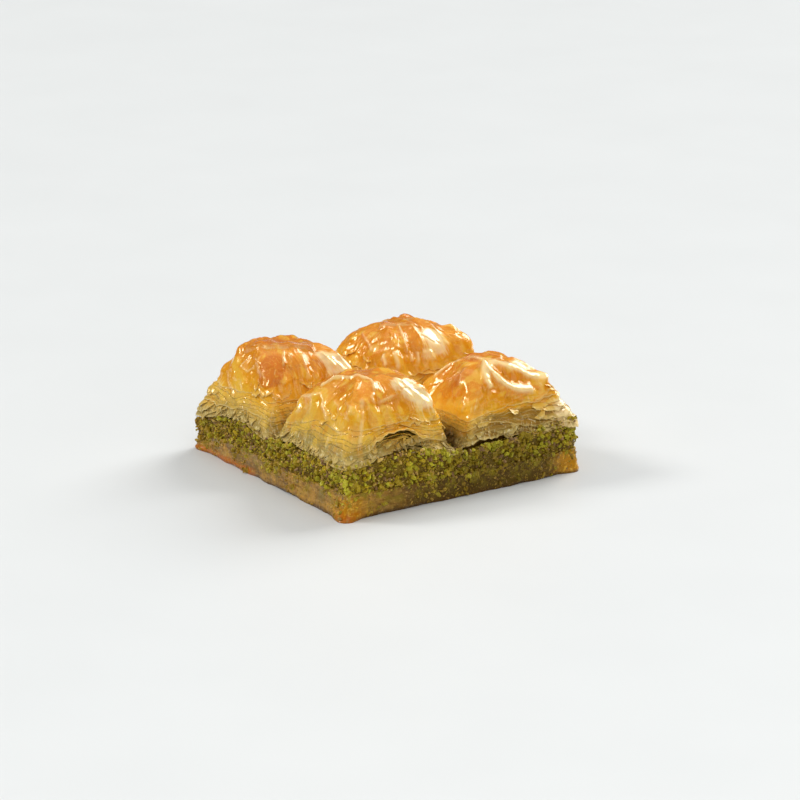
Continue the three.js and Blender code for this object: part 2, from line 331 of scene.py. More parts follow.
class Bumps:
    """Smooth random bumps from about -1 to 1, the same at every run."""

    def __init__(self, seed):
        draw = np.random.default_rng(seed)
        self.order = np.tile(draw.permutation(256), 3)
        slopes = draw.normal(size=(256, 3))
        self.slopes = slopes / np.linalg.norm(slopes, axis=1, keepdims=True)

    def __call__(self, x, y, z, size=1.0):
        point = np.stack(np.broadcast_arrays(x, y, z), axis=-1) / size
        cell = np.floor(point).astype(int)
        inside = point - cell
        ease = inside**3 * (inside * (inside * 6 - 15) + 10)
        total = 0.0
        for corner in np.ndindex(2, 2, 2):
            at = (cell + corner) & 255
            turn = self.order[self.order[self.order[at[..., 0]] + at[..., 1]] + at[..., 2]]
            slope = (self.slopes[turn] * (inside - corner)).sum(-1)
            total = total + slope * np.where(corner, ease, 1 - ease).prod(-1)
        return BUMP_GAIN * total

    def layered(self, x, y, z, size, layers=3, gain=0.5):
        """Bumps with smaller bumps on them."""
        parts = [
            gain**i * self(x + 31.7 * i, y, z - 17.3 * i, size / 2**i) for i in range(layers)
        ]
        return sum(parts) / sum(gain**i for i in range(layers))

    def creased(self, x, y, z, size, layers=2, gain=0.5):
        """Sharp creases, 1 along a crease and falling to 0 away from it."""
        parts = [
            gain**i * (1 - np.abs(self(x + 13.1 * i, y - 7.9 * i, z, size / 1.9**i)))
            for i in range(layers)
        ]
        return sum(parts) / sum(gain**i for i in range(layers))

    def crumpled(self, x, y, z, size, waves=4):
        """Flat facets between sharp creases, as in crumpled film: folded planes, bent a little."""
        total = 0.0
        for number in range(waves):
            lean = self.slopes[7 * number + 3]
            stretch = size * (0.8 + 0.25 * number)
            sway = self(x + 21.3 * number, y - 11.9 * number, z, 1.9 * size)
            turn = (x * lean[0] + y * lean[1] + z * lean[2]) / stretch + 0.55 * sway + 0.37 * number
            loud = 0.55 + 0.6 * self(x - 9.7 * number, y + 23.1 * number, z, 1.7 * size)
            total = total + loud * (np.abs(turn % 1 - 0.5) * 4 - 1)
        return total / math.sqrt(waves)


def ramp(value, low_end, high_end):
    """0 at low_end, 1 at high_end and a smooth change between; either may be the larger."""
    share = np.clip((value - low_end) / (high_end - low_end), 0, 1)
    return share * share * (3 - 2 * share)


def fade(distance, reach, power=2):
    """1 where the distance is 0, fading away over its reach, more abruptly for a high power."""
    return np.exp(-((distance / reach) ** power))


print("a few bumps:", np.round(Bumps(1)(np.arange(4) * 0.7, 0.2, 0.4), 2))

# %% [markdown]
# ## From numbers to meshes
#
# Every piece is either a stack of closed rings, like a pile of rubber bands with a lid at each end,
# or a thin sheet with two faces and a rim. Both are grids of points, so two functions are enough to
# turn them into closed meshes. Numbers that the finish needs, such as how far a point lies up the
# mound, are stored on the mesh's points.

# %% Mesh makers
def grid_faces(rows, columns, closed):
    """The four corners of every cell of a grid of points, round a ring if closed."""
    row = np.arange(rows - 1)[:, None]
    column = np.arange(columns if closed else columns - 1)[None, :]
    after = (column + 1) % columns
    cells = [row * columns + column, (row + 1) * columns + column]
    cells += [(row + 1) * columns + after, row * columns + after]
    return np.stack(np.broadcast_arrays(*cells), -1).reshape(-1, 4)


def make_object(name, points, quads, triangles, finish, facts, smooth=True):
    """A mesh object from points in millimetres."""
    mesh = bpy.data.meshes.new(name)
    points = np.asarray(points, dtype=np.float32).reshape(-1, 3) * MM
    quads = np.asarray(quads, dtype=np.int32).reshape(-1, 4)
    triangles = np.asarray(triangles, dtype=np.int32).reshape(-1, 3)
    sizes = np.concatenate([np.full(len(quads), 4), np.full(len(triangles), 3)])
    mesh.vertices.add(len(points))
    mesh.vertices.foreach_set("co", points.ravel())
    mesh.loops.add(int(sizes.sum()))
    mesh.loops.foreach_set("vertex_index", np.concatenate([quads.ravel(), triangles.ravel()]))
    mesh.polygons.add(len(sizes))
    starts = np.concatenate([[0], np.cumsum(sizes)[:-1]]).astype(np.int32)
    mesh.polygons.foreach_set("loop_start", starts)
    mesh.polygons.foreach_set("use_smooth", np.full(len(sizes), smooth))
    mesh.update(calc_edges=True)
    mesh.validate()
    for fact, values in facts.items():
        values = np.asarray(values, dtype=np.float32)
        is_place = values.size == len(points) * 3
        layer = mesh.attributes.new(fact, "FLOAT_VECTOR" if is_place else "FLOAT", "POINT")
        layer.data.foreach_set("vector" if is_place else "value", values.ravel())
    mesh.materials.append(finish)
    piece = bpy.data.objects.new(name, mesh)
    bpy.context.scene.collection.objects.link(piece)
    print(f"{name}: {2 * len(quads) + len(triangles)} triangles")
    return piece


def ring_stack(name, rings, finish, facts):
    """A closed body from rings that run from its top to its bottom, outward face out."""
    rows, columns, _ = rings.shape
    ends = np.stack([rings[0].mean(0), rings[-1].mean(0)])
    points = np.concatenate([rings.reshape(-1, 3), ends])
    around = np.arange(columns)
    after = (around + 1) % columns
    last = (rows - 1) * columns
    lid = np.stack([np.full(columns, rows * columns), around, after], -1)
    floor_fan = np.stack([np.full(columns, rows * columns + 1), last + after, last + around], -1)
    whole = {}
    for fact, values in facts.items():
        on_ends = np.stack([values[0].mean(0), values[-1].mean(0)]).reshape(2, -1)
        whole[fact] = np.concatenate([values.reshape(rows * columns, -1), on_ends])
    quads = grid_faces(rows, columns, True)
    return make_object(name, points, quads, np.concatenate([lid, floor_fan]), finish, whole)


def sheet_parts(outer, inner, first=0):
    """Points and faces of thin sheets: two grids back to back, and the rim that joins them."""
    rows, columns, _ = outer.shape
    points = np.concatenate([outer.reshape(-1, 3), inner.reshape(-1, 3)])
    front = grid_faces(rows, columns, False)
    back = front[:, ::-1] + rows * columns
    index = np.arange(rows * columns).reshape(rows, columns)
    sides = (index[0][::-1], index[:, 0], index[-1], index[:, -1][::-1])
    border = np.concatenate([side[:-1] for side in sides])
    ahead = np.roll(border, -1)
    under = rows * columns
    rim = np.stack([border, border + under, ahead + under, ahead], -1)
    return points, np.concatenate([front, back, rim]) + first


def place(piece, node, slot):
    """Every piece rides on the one body and stands for its solid, which is hidden; the slot is not
    used.
    """
    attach(piece, "root")
    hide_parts(node)


print("cells in a grid of 3 by 4 points:", len(grid_faces(3, 4, False)))

# %% [markdown]
# ## How high the layers lie
#
# The layers aren't level. One corner was pressed flat when the square was lifted out of its tray,
# the corner nearest the viewer stands a little proud, and the knife pushed the nuts down along the
# cross cut. The solids follow these heights, and so does everything that is put on them.

# %% Heights of the layers
PRESSED_CORNER = (-HALF, HALF)
PRESSED_REACH = 11
PRESSED_BASE = 1.8  # how much lower the base is there
PRESSED_FILLING = 4.6  # and the nuts
PROUD_CORNER = (-HALF, -HALF)
PROUD_REACH = 16
PROUD_HEIGHT = 1.1
RIGHT_CORNER = (HALF, -HALF)
CUT_DIP = 1.5  # how far the knife pushed the nuts down
CUT_DIP_REACH = 7
BASE_WAVE = 0.35
FILLING_WAVE = 0.45


def ripple(x, y, z, scale, seed):
    """The gentle wave that the solids use: the mean of three sine waves."""
    k = math.pi / scale
    waves = ((1.0, 0.35, 0.7, 1.7), (-0.6, 0.9, -0.4, 2.9), (0.25, -1.1, 0.9, 4.1))
    return sum(np.sin(k * (a * x + b * y + c * z) + phase * seed) for a, b, c, phase in waves) / 3


def nearness(x, y, corner, reach):
    """1 at a place on the plan, fading to 0 over a few times its reach."""
    return np.exp(-((x - corner[0]) ** 2 + (y - corner[1]) ** 2) / (2 * reach**2))


def layer_top(x, y, level, pressed_by):
    """A level that is raised at the proud corner and pressed down at the pressed one."""
    proud = PROUD_HEIGHT * nearness(x, y, PROUD_CORNER, PROUD_REACH)
    return level + proud - pressed_by * nearness(x, y, PRESSED_CORNER, PRESSED_REACH)


def base_top(x, y):
    return layer_top(x, y, BASE_TOP, PRESSED_BASE) + BASE_WAVE * ripple(x, y, 0, 17, 1)


def filling_top(x, y):
    dip = CUT_DIP * (fade(x, CUT_DIP_REACH) + fade(y, CUT_DIP_REACH))
    top = layer_top(x, y, FILLING_TOP, PRESSED_FILLING)
    return top - dip + FILLING_WAVE * ripple(x, y, 0, 19, 2)


# Where the sheets above stand open, the nuts were heaped higher: middle, height and reach.
HEAPS = [(-21.0, -43.0, 2.4, 9.0), (36.0, -44.0, 1.6, 8.0), (43.5, -44.0, 1.0, 3.0)]


def nut_top(x, y):
    heaps = [high * nearness(x, y, (at_x, at_y), reach) for at_x, at_y, high, reach in HEAPS]
    return filling_top(x, y) + sum(heaps)


print(f"nuts at the proud corner reach {filling_top(*PROUD_CORNER):.1f} mm, "
      f"at the pressed one {filling_top(*PRESSED_CORNER):.1f} mm")

# %% [markdown]
# ## The square's outline
#
# The base and the filling share one outline, a square with barely rounded corners. It is walked
# round in equal steps, and each step also knows which way is out.

# %% Walking round the square
EDGE_RADIUS = 1.2


def square_outline(count):
    """Points of the outline, and their outward directions."""
    straight = SIDE - 2 * EDGE_RADIUS
    arc = EDGE_RADIUS * math.pi / 2
    walked = np.arange(count) * 4 * (straight + arc) / count
    side = (walked // (straight + arc)).astype(int)
    along = walked - side * (straight + arc)
    bend = np.clip((along - straight) / arc, 0, 1) * math.pi / 2
    x = HALF - EDGE_RADIUS + EDGE_RADIUS * np.cos(bend)
    y = np.minimum(along, straight) - straight / 2 + EDGE_RADIUS * np.sin(bend)
    turn = side * math.pi / 2
    cos, sin = np.cos(turn), np.sin(turn)
    point = np.stack([x * cos - y * sin, x * sin + y * cos], -1)
    out = np.stack([np.cos(turn + bend), np.sin(turn + bend)], -1)
    return point, out


outline, outward = square_outline(8)
print("outline starts at", np.round(outline[0], 1))

# %% [markdown]
# ## The soaked base
#
# The lower sheets have drunk so much syrup that they have become one soft, brown, see-through
# stack. Its cut sides still show the sheets as faint, wavy steps; the foot bulges where syrup has
# run down and set, and the lowest sheet curls in. A box with noise would miss the steps, so the
# side is a stack of rings, four to a millimetre, and each ring moves in and out on its own.

# %% Shape of the soaked base
BASE_COLUMNS = 620
BASE_ROWS = 30
SYRUP_FOOT = 1.1  # how far the foot bulges
FOOT_INSET = 0.5  # how far the lowest sheet curls in
SHEET_PITCH = 0.62  # height of one soaked bunch of sheets
SHEET_STEP = 0.16  # how far one bunch stands out past the next
LUMPS = 0.34  # how far the soft side swells
LID_RINGS = 6
CORNER_SYRUP = [(PROUD_CORNER, 0.8), (PRESSED_CORNER, 1.9), (RIGHT_CORNER, 0.9)]  # mm wider foot


def base_side(x, y, rise):
    """How far the base's side stands out from the cut face, at a share of its height."""
    bumps = Bumps(11)
    z = rise * base_top(x, y)
    warp = 0.5 * bumps(x, y, 0.3 * z, 9) + 0.25 * bumps(x, y, z, 2.5)
    tooth = np.abs(((z + warp) / SHEET_PITCH) % 1 - 0.5) * 2
    steps = SHEET_STEP * (tooth - 0.5) * (0.4 + 0.6 * ramp(bumps(x, y, z, 7), -0.4, 0.5))
    lumps = LUMPS * bumps.layered(x, y, 1.6 * z, 4, 3)
    puddle = sum(wide * nearness(x, y, corner, 4) for corner, wide in CORNER_SYRUP)
    foot = (1 - rise) ** 2 * (SYRUP_FOOT * (0.6 + 0.6 * bumps(x, y, 0, 8)) + puddle)
    curl = (FOOT_INSET + 0.9 * bumps(x, y, 3, 7)) * ramp(1 - rise, 0.86, 1.0)
    return foot - curl + steps + lumps + BASE_WAVE * ripple(x, y, 0, 13, 3)


def base_rings():
    """Rings from the middle of the base's top, down its side, to the middle of its underside."""
    outline, outward = square_outline(BASE_COLUMNS)
    x, y = outline.T
    rings = []
    for share in np.linspace(0.1, 0.98, LID_RINGS):
        rings.append(np.stack([share * x, share * y, base_top(share * x, share * y)], -1))
    for rise in np.linspace(1, 0, BASE_ROWS):
        side = outline + base_side(x, y, rise)[:, None] * outward
        rings.append(np.column_stack([side, rise * base_top(x, y)]))
    for share in np.linspace(0.96, 0.1, LID_RINGS):
        rings.append(np.stack([share * x, share * y, np.zeros_like(x)], -1))
    rises = [1.0] * LID_RINGS + list(np.linspace(1, 0, BASE_ROWS)) + [0.0] * LID_RINGS
    return np.array(rings), np.repeat(np.array(rises)[:, None], BASE_COLUMNS, axis=1)


rings, rise = base_rings()
print("base rings:", rings.shape)

# %% [markdown]
# The base's colour is painted in layers: an amber brown body with paler streaks; a dark olive tone
# on the right side, which drank the most syrup and where shade is painted on too; green smears where
# the knife dragged nuts down; honey with bright droplets at the corners, where the stack is thin; and
# red caramel along the bottom of the side where syrup caught on the tray. Subsurface light gives the
# waxy depth.

# %% Finish of the soaked base
def soaked_filo_finish():
    """The finish of the base, from the facts stored on it."""
    material, shader, start = new_finish(
        "soaked_filo",
        IOR=1.45,
        Specular_IOR_Level=0.3,
        Specular_Tint=(1.0, 0.8, 0.4, 1.0),
        Subsurface_Weight=0.2,
        Subsurface_Scale=1.0,
        Subsurface_Radius=(0.8 * MM, 0.5 * MM, 0.15 * MM),
        Coat_Roughness=0.1,
    )
    streaks = noise(start, 3.0, 4, 0.6, stretch=(0.7, 0.7, 2.4))
    blotches = noise(start, 6, 4, 0.62, shift=0.3)
    specks = noise(start, 0.9, 3, 0.65, shift=0.7)
    rise = stored(start, "rise")
    corner = stored(start, "corner")
    soaked = stored(start, "soaked")
    olive = step(noise(start, 2.4, 3, 0.6, shift=5.5), 0.46, 0.6) * soaked
    smear = step(noise(start, 4, 4, 0.65, shift=1.9), 0.45, 0.6)
    honey = step(corner + (blotches - 0.5) * 1.0 + (specks - 0.5) * 0.7, 0.1, 0.85)
    caramel = step(rise + specks * 0.5 + streaks * 0.25, 0.78, 0.52)
    caramel = caramel * step(stored(start, "caught") + (blotches - 0.5) * 0.8, 0.3, 0.7)
    shadowed = step(rise, 0.2, 0.0) * (1 - caramel * 0.7)
    pale_specks = step(specks, 0.56, 0.68) * (0.6 - soaked * 0.2)
    body = blend(step(streaks, 0.36, 0.66), rgb(122, 82, 18), rgb(188, 142, 66))
    layers = [
        (step(blotches, 0.46, 0.62) * 0.6, rgb(112, 78, 18)),
        (step(1 - blotches, 0.52, 0.66) * 0.5, rgb(214, 160, 70)),
        # painted shade and soaked syrup: the right side darker
        (soaked * 0.9, rgb(66, 45, 4)),
        (olive * 0.6, rgb(86, 68, 8)),
        (pale_specks, rgb(206, 166, 84)),
        (step(1 - specks, 0.58, 0.7) * 0.5, rgb(92, 62, 8)),
        (smear * step(rise, 0.1, 0.85) * 0.8, rgb(136, 118, 20)),
        (honey * 0.8, rgb(196, 132, 8)),
        (honey * step(specks, 0.54, 0.62) * 0.6, rgb(240, 196, 70)),
        (caramel * 0.9, rgb(190, 102, 8)),
        (shadowed * 0.75, rgb(84, 50, 6)),
    ]
    rough = 0.16 + 0.25 * noise(start, 2.0, 2, shift=2.7)
    soft = bump(noise(start, 1.8, 3, 0.6, stretch=(1, 1, 1.8)), 0.25)
    wet = bump(noise(start, 0.6, 3, 0.6, stretch=(1, 1, 1.5)), 0.08, under=soft)
    syrup = 0.06 + (1 - soaked) * step(blotches, 0.42, 0.58) * 0.3
    colour = painted(body, layers)
    connect(shader, Base_Color=colour, Roughness=rough, Coat_Weight=syrup, Normal=wet)
    return material


SIDE_FROM = (HALF - 2.5, HALF - 1.5)  # how far out a point is when it counts as on a side

soaked_filo = soaked_filo_finish()
x, y = rings[..., 0], rings[..., 1]
near_corner = nearness(x, y, PROUD_CORNER, 5.5) * ramp(rise, 1.05, 0.7)
right_corner = nearness(x, y, RIGHT_CORNER, 6.5)
on_right_side = ramp(-y, *SIDE_FROM)
on_left_side = ramp(-x, *SIDE_FROM)
caught = on_left_side * ramp(y, 2, 18) + 0.55 * nearness(x, y, PROUD_CORNER, 8)
facts = {
    "rise": rise,
    "corner": np.clip(near_corner + right_corner, 0, 1),
    # darker on the right side: painted shade, and the syrup that side soaked up
    "soaked": on_right_side * ramp(x, -42, -8) * (1 - right_corner),
    "caught": np.clip(caught, 0.1, 1),
}
soaked_base = ring_stack("soaked_base", rings, soaked_filo, facts)
place(soaked_base, "base_filo", "soaked_filo")

# %% [markdown]
# ## The bed of ground pistachio
#
# Between the stacks lies a bed of ground nuts, glued by syrup. Nobody could place fourteen thousand
# crumbs by hand, and a bump map alone looks flat at the cut side. So the bed is made twice over: a
# dark, rough core set slightly back, which is what shows in the gaps, and real crumbs strewn over
# it by rule.

# %% Shape of the core
CORE_COLUMNS = 500
CORE_ROWS = 22
CORE_TOP_RINGS = 26
CORE_INSET = 0.6  # the core lies this far behind the cut face
CORE_ROUGHNESS = 0.42
CORE_ROOT = 0.4  # how deep it sinks into the soaked base
PRESSED_SPREAD = 0.9  # mm by which the nuts spread at the pressed corner
SMEARED = 2.6  # mm by which the border of nuts and base wanders up and down


def core_depth(x, y, z):
    """How far the core's side stands out from the cut face."""
    bumps = Bumps(23)
    grain = bumps.layered(x, y, z, 2.0, 2) + 1.3 * bumps(x, y, z, 4.2)
    spread = PRESSED_SPREAD * nearness(x, y, PRESSED_CORNER, 5)
    return np.minimum(CORE_ROUGHNESS * grain - CORE_INSET, 0.1) + spread


def nut_bottom(x, y):
    """Where the nuts end on the cut face: the soft base is smeared up and down over them."""
    bumps = Bumps(25)
    dragged = 3.0 * nearness(x, y, PROUD_CORNER, 3.5)
    return base_top(x, y) + SMEARED * bumps.layered(x, y, 0, 9, 4, 0.7) - dragged - 0.4


def painted_nut_shade(x, y, z):
    """How much painted shade darkens the nuts: most on the right side, less at its corner and up high.
    """
    side = ramp(-y, *SIDE_FROM) * ramp(x, -20, 10)
    side = side * (1 - 0.95 * nearness(x, y, RIGHT_CORNER, 10))
    side = side * (0.45 + 0.55 * ramp(z, 16, 12.5))
    return 0.75 * side * (0.5 + 0.6 * Bumps(26).layered(x, y, z, 6, 2)) + 0.1 * side


def core_rings():
    """Rings of the nut bed, whose top also shows as the floor of the cross cut."""
    bumps = Bumps(24)
    outline, outward = square_outline(CORE_COLUMNS)
    x, y = outline.T
    rings = []
    for share in np.linspace(0.02, 0.985, CORE_TOP_RINGS):
        px, py = share * x, share * y
        grain = 0.35 * bumps.layered(px, py, 0, 1.8, 2)
        rings.append(np.stack([px, py, nut_top(px, py) - 0.25 + grain], -1))
    for rise in np.linspace(1, 0, CORE_ROWS):
        z = (1 - rise) * (base_top(x, y) - CORE_ROOT) + rise * (nut_top(x, y) - 0.35)
        side = outline + core_depth(x, y, z)[:, None] * outward
        rings.append(np.column_stack([side, z]))
    for share in np.linspace(0.9, 0.1, 4):
        rings.append(np.stack([share * x, share * y, base_top(x, y) - CORE_ROOT], -1))
    return np.array(rings)


print(f"core lies {-core_depth(0.0, -HALF, 12.0):.1f} mm behind the middle of the right cut face")

# %% [markdown]
# Pistachio runs from vivid lime in the heart of the nut, through olive, to the purple brown of its
# skin. One finish maker serves the core and all kinds of crumb: it takes the dark and light colour
# of the kind, and each crumb picks its own place between them from the number stored on it.

# %% Finish of the nuts
def pistachio_finish(name, dark, light, fleck, gloss):
    """The finish of one kind of nut: its dark and light colour, its flecks and its gloss."""
    material, shader, start = new_finish(
        name,
        IOR=1.46,
        Specular_IOR_Level=0.25,
        Specular_Tint=(1.0, 0.9, 0.5, 1.0),
        Subsurface_Weight=0.12,
        Subsurface_Scale=1.0,
        Subsurface_Radius=(0.4 * MM, 0.4 * MM, 0.1 * MM),
        Coat_Weight=gloss,
        Coat_Roughness=0.15,
    )
    tint = stored(start, "tint")
    grain = noise(start, 0.7, 3, 0.6)
    flecked = step(noise(start, 0.45, 2, shift=3.1), 0.6, 0.72)
    cloudy = step(noise(start, 7, 3, 0.6, shift=8.8), 0.5, 0.68)
    layers = [
        (flecked * 0.6, fleck),
        (cloudy * 0.35, rgb(96, 72, 12)),
        (stored(start, "soak"), rgb(164, 122, 42)),
        # painted shade: the nuts darker on the right side
        (stored(start, "shade"), rgb(74, 54, 6)),
    ]
    colour = painted(blend(tint * 0.8 + grain * 0.3, dark, light), layers)
    rough = 0.3 + 0.3 * grain
    chipped = bump(noise(start, 0.9, 3, 0.6, shift=6.1), 0.2)
    rub = bump(noise(start, 0.35, 3), 0.08, under=chipped)
    connect(shader, Base_Color=colour, Roughness=rough, Normal=rub)
    return material


core_finish = pistachio_finish(
    "pistachio_bed", rgb(62, 44, 4), rgb(146, 116, 20), rgb(176, 150, 40), 0.1
)
rings = core_rings()
x, y, z = np.moveaxis(rings, -1, 0)
facts = {
    "tint": 0.5 + 0.6 * Bumps(5).layered(x, y, z, 3),
    "soak": 0.8 * ramp(z - nut_bottom(x, y), 0.5, -0.3),
    "shade": painted_nut_shade(x, y, z),
}
nut_bed = ring_stack("nut_bed", rings, core_finish, facts)
place(nut_bed, "pistachio_filling", "ground_pistachio")

# %% [markdown]
# A crumb is a ball of eight, twenty or eighty faces whose points are pushed in and out at random
# and stretched one way, then turned at random. Its faces stay flat, as those of a chopped nut are.
# Thousands of crumbs are worked out in one numpy sum and joined in one mesh, which keeps the scene
# light and quick to build.

# %% A maker of crumbs
CRUMB_SWELL = (0.58, 1.3)  # each point's distance from the middle, as a share of the radius
CRUMB_STRETCH = ((0.9, 0.7, 0.5), (1.7, 1.1, 0.9))  # least and most along the three axes
CRUMB_FLOOR = 0.05  # mm above the tray: no crumb reaches below it


def ball(levels):
    """Points and triangles of a ball: eight faces at level 0, twenty at 1, eighty at 2."""
    if levels == 0:
        points = np.array([(1, 0, 0), (0, 1, 0), (-1, 0, 0), (0, -1, 0), (0, 0, 1), (0, 0, -1)], float)
        sides = [(0, 1), (1, 2), (2, 3), (3, 0)]
        return points, np.array([(a, b, 4) for a, b in sides] + [(b, a, 5) for a, b in sides])
    shape = bmesh.new()
    bmesh.ops.create_icosphere(shape, subdivisions=levels, radius=1.0)
    shape.verts.ensure_lookup_table()
    points = np.array([v.co for v in shape.verts])
    faces = np.array([[v.index for v in f.verts] for f in shape.faces])
    shape.free()
    return points, faces


def random_turns(draw, count):
    """Random rotations as 3 by 3 matrices."""
    q = draw.normal(size=(count, 4))
    w, x, y, z = (q / np.linalg.norm(q, axis=1, keepdims=True)).T
    rows = [
        [1 - 2 * (y * y + z * z), 2 * (x * y - w * z), 2 * (x * z + w * y)],
        [2 * (x * y + w * z), 1 - 2 * (x * x + z * z), 2 * (y * z - w * x)],
        [2 * (x * z - w * y), 2 * (y * z + w * x), 1 - 2 * (x * x + y * y)],
    ]
    return np.moveaxis(np.array(rows), -1, 0)


def strew(name, centres, radii, finish, seed, levels):
    """One mesh of lopsided crumbs, each with its own tint."""
    draw = np.random.default_rng(seed)
    count = len(centres)
    points, faces = ball(levels)
    swell = draw.uniform(*CRUMB_SWELL, size=(count, len(points), 1))
    stretch = draw.uniform(*CRUMB_STRETCH, size=(count, 3))
    lumps = points[None] * swell * stretch[:, None, :] * radii[:, None, None]
    lumps = np.einsum("nij,nvj->nvi", random_turns(draw, count), lumps) + centres[:, None, :]
    lumps[..., 2] += np.maximum(CRUMB_FLOOR - lumps[..., 2].min(axis=1), 0)[:, None]
    triangles = (faces[None] + (np.arange(count) * len(points))[:, None, None]).reshape(-1, 3)
    x, y, z = centres.T
    patch = 0.55 + 0.75 * Bumps(seed).layered(x, y, z, 3.5, 2) + draw.normal(0, 0.22, count)
    wet = 0.65 * ramp(nut_bottom(x, y) + 1.6 - z, 0, 2.6)
    wet = np.maximum(wet, 0.8 * nearness(x, y, PRESSED_CORNER, 6))
    facts = {
        "tint": np.repeat(np.clip(patch, 0, 1), len(points)),
        "soak": np.repeat(wet * draw.uniform(0.4, 1, count), len(points)),
        "shade": np.repeat(np.clip(painted_nut_shade(x, y, z), 0, 1), len(points)),
    }
    crumbs = make_object(name, lumps, [], triangles, finish, facts, smooth=False)
    place(crumbs, "pistachio_filling", "ground_pistachio")


print("faces on a crumb:", [len(ball(levels)[1]) for levels in range(3)])

# %% [markdown]
# The crumbs lie where the knife cut: on the four sides, from the soaked base up to the sheets, and
# along the floor of the cross cut. The knife also dragged some down over the base, more on some
# stretches than on others. The rule draws a place round the outline and a height, keeps it with a
# chance that falls off away from the clusters and smears, and sets it at a random depth. Only the
# fresh crumbs that catch the eye are listed, a handful at a time.

# %% Where the crumbs lie
PLACES_ROUND = 3600  # places round the outline that a crumb may take
OVER_HEM = 1.1  # mm by which crumbs reach up over the hem of the sheets
# Middles of the handfuls, on the left and then on the right cut side.
HANDFULS = [
    (-HALF, -43.5, 12.8), (-HALF, -41.0, 14.5), (-HALF, -15.0, 13.0), (-HALF, -34.0, 13.5),
    (-HALF, -0.4, 13.6), (-HALF, -0.2, 5.8), (-HALF, 2.8, 6.2), (-HALF, -5.0, 5.6),
    (-HALF, 38.8, 3.4), (-HALF, 29.3, 14.8), (-42.8, -HALF, 11.5), (-41.5, -HALF, 14.0),
    (-13.0, -HALF, 17.4), (-10.0, -HALF, 16.8), (2.3, -HALF, 5.8), (-13.2, -HALF, 7.2),
    (44.0, -HALF, 14.5), (42.0, -HALF, 13.0), (12.0, -HALF, 15.0), (32.0, -HALF, 10.6),
]
HANDFUL = 13  # crumbs
HANDFUL_REACH = 1.3  # mm


def crumb_out(x, y, z, on_nuts, sunk):
    """How far out a crumb sits: as given on the nuts, and sunk a little into the base's side."""
    over_base = ramp(base_top(x, y) + 0.5 - z, 0, 0.6)
    on_base = base_side(x, y, np.clip(z / base_top(x, y), 0, 1)) - sunk
    return on_nuts * (1 - over_base) + on_base * over_base


def side_places(draw, count, size, dragged, kind_seed):
    """Places of crumbs on the cut sides, with a share of them dragged down the base."""
    outline, outward = square_outline(PLACES_ROUND)
    pick = draw.integers(0, len(outline), count * 5)
    x, y = outline[pick].T
    bottom, top = nut_bottom(x, y), nut_top(x, y)
    share = draw.random(len(pick))
    z = bottom + (top - bottom + OVER_HEM) * share - 0.2 * size
    clusters = Bumps(kind_seed)
    gathered = ramp(clusters.layered(x, y, z, 4.5, 2), -0.35, 0.35)
    smears = Bumps(77)
    smeared = ramp(smears(x, y, 0, 8), -0.15, 0.4)
    smeared = np.maximum(smeared, 0.7 * (y < 2 - HALF) * ramp(x, -30, 0))
    falls = draw.random(len(pick)) < dragged
    z = np.where(falls, bottom * (1 - draw.random(len(pick)) ** 1.6), z)
    kept = draw.random(len(pick)) < np.where(falls, smeared, 0.12 + 0.88 * gathered)
    z = np.maximum(z, 0.9 * size)
    depth = core_depth(x, y, z) + draw.normal(0.18, 0.16, len(pick)) + 0.15 * size
    depth = np.minimum(depth + ramp(z, top - 1.2, top) * 0.35, 0.5 + PRESSED_SPREAD)
    grow = crumb_out(x, y, z, depth, 0.35 * size)
    side = outline[pick] + grow[:, None] * outward[pick]
    return np.column_stack([side, z])[kept][:count]


def handful_places(draw, size):
    """Places of the crumbs of each handful."""
    middles = np.repeat(np.array(HANDFULS), HANDFUL, axis=0)
    x, y, z = middles.T
    on_left = np.abs(x + HALF) < 0.01
    along, up = HANDFUL_REACH * draw.normal(size=(2, len(x)))
    x, y, z = np.where(on_left, x, x + along), np.where(on_left, y + along, y), z + 0.8 * up
    x, y = np.minimum(x, HALF - 0.8), np.clip(y, -HALF, HALF - 0.8)
    z = np.clip(z, 0.9 * size, nut_top(x, y) + 0.3)
    depth = np.minimum(core_depth(x, y, z) + draw.normal(0.25, 0.16, len(x)), 0.55)
    grow = crumb_out(x, y, z, depth, 0.3 * size)
    x, y = np.where(on_left, x - grow, x), np.where(on_left, y, y - grow)
    return np.stack([x, y, z], -1)


def cut_places(draw, count, size):
    """Places of crumbs on the floor of the cross cut."""
    along = draw.uniform(-HALF + 1, HALF - 1, count)
    across = draw.normal(0, 0.9, count)
    swap = draw.random(count) < 0.5
    x, y = np.where(swap, across, along), np.where(swap, along, across)
    return np.stack([x, y, filling_top(x, y) + 0.1 * size * draw.normal(size=count)], -1)


# How many on the sides and in the cut, smallest and largest radius, share dragged, levels of the
# ball, seed, then the dark and light colour, the flecks and the gloss.
KINDS = {
    "nibs_lime": (700, 50, 0.36, 1.05, 0.18, 2, 301,
                  rgb(128, 116, 8), rgb(208, 198, 54), rgb(232, 222, 110), 0.12),
    "nibs_olive": (1350, 90, 0.36, 1.1, 0.16, 2, 302,
                   rgb(114, 90, 8), rgb(196, 168, 40), rgb(216, 194, 70), 0.12),
    "nibs_straw": (1500, 80, 0.22, 0.75, 0.22, 1, 303,
                   rgb(166, 126, 40), rgb(222, 188, 100), rgb(236, 206, 120), 0.15),
    "nibs_skin": (900, 60, 0.26, 0.85, 0.12, 1, 304,
                  rgb(104, 70, 36), rgb(172, 134, 92), rgb(186, 150, 96), 0.15),
    "nut_meal": (9000, 400, 0.14, 0.34, 0.36, 0, 305,
                 rgb(130, 102, 12), rgb(214, 190, 66), rgb(226, 208, 96), 0.1),
}
IN_HANDFULS = ("nibs_lime", "nibs_straw")

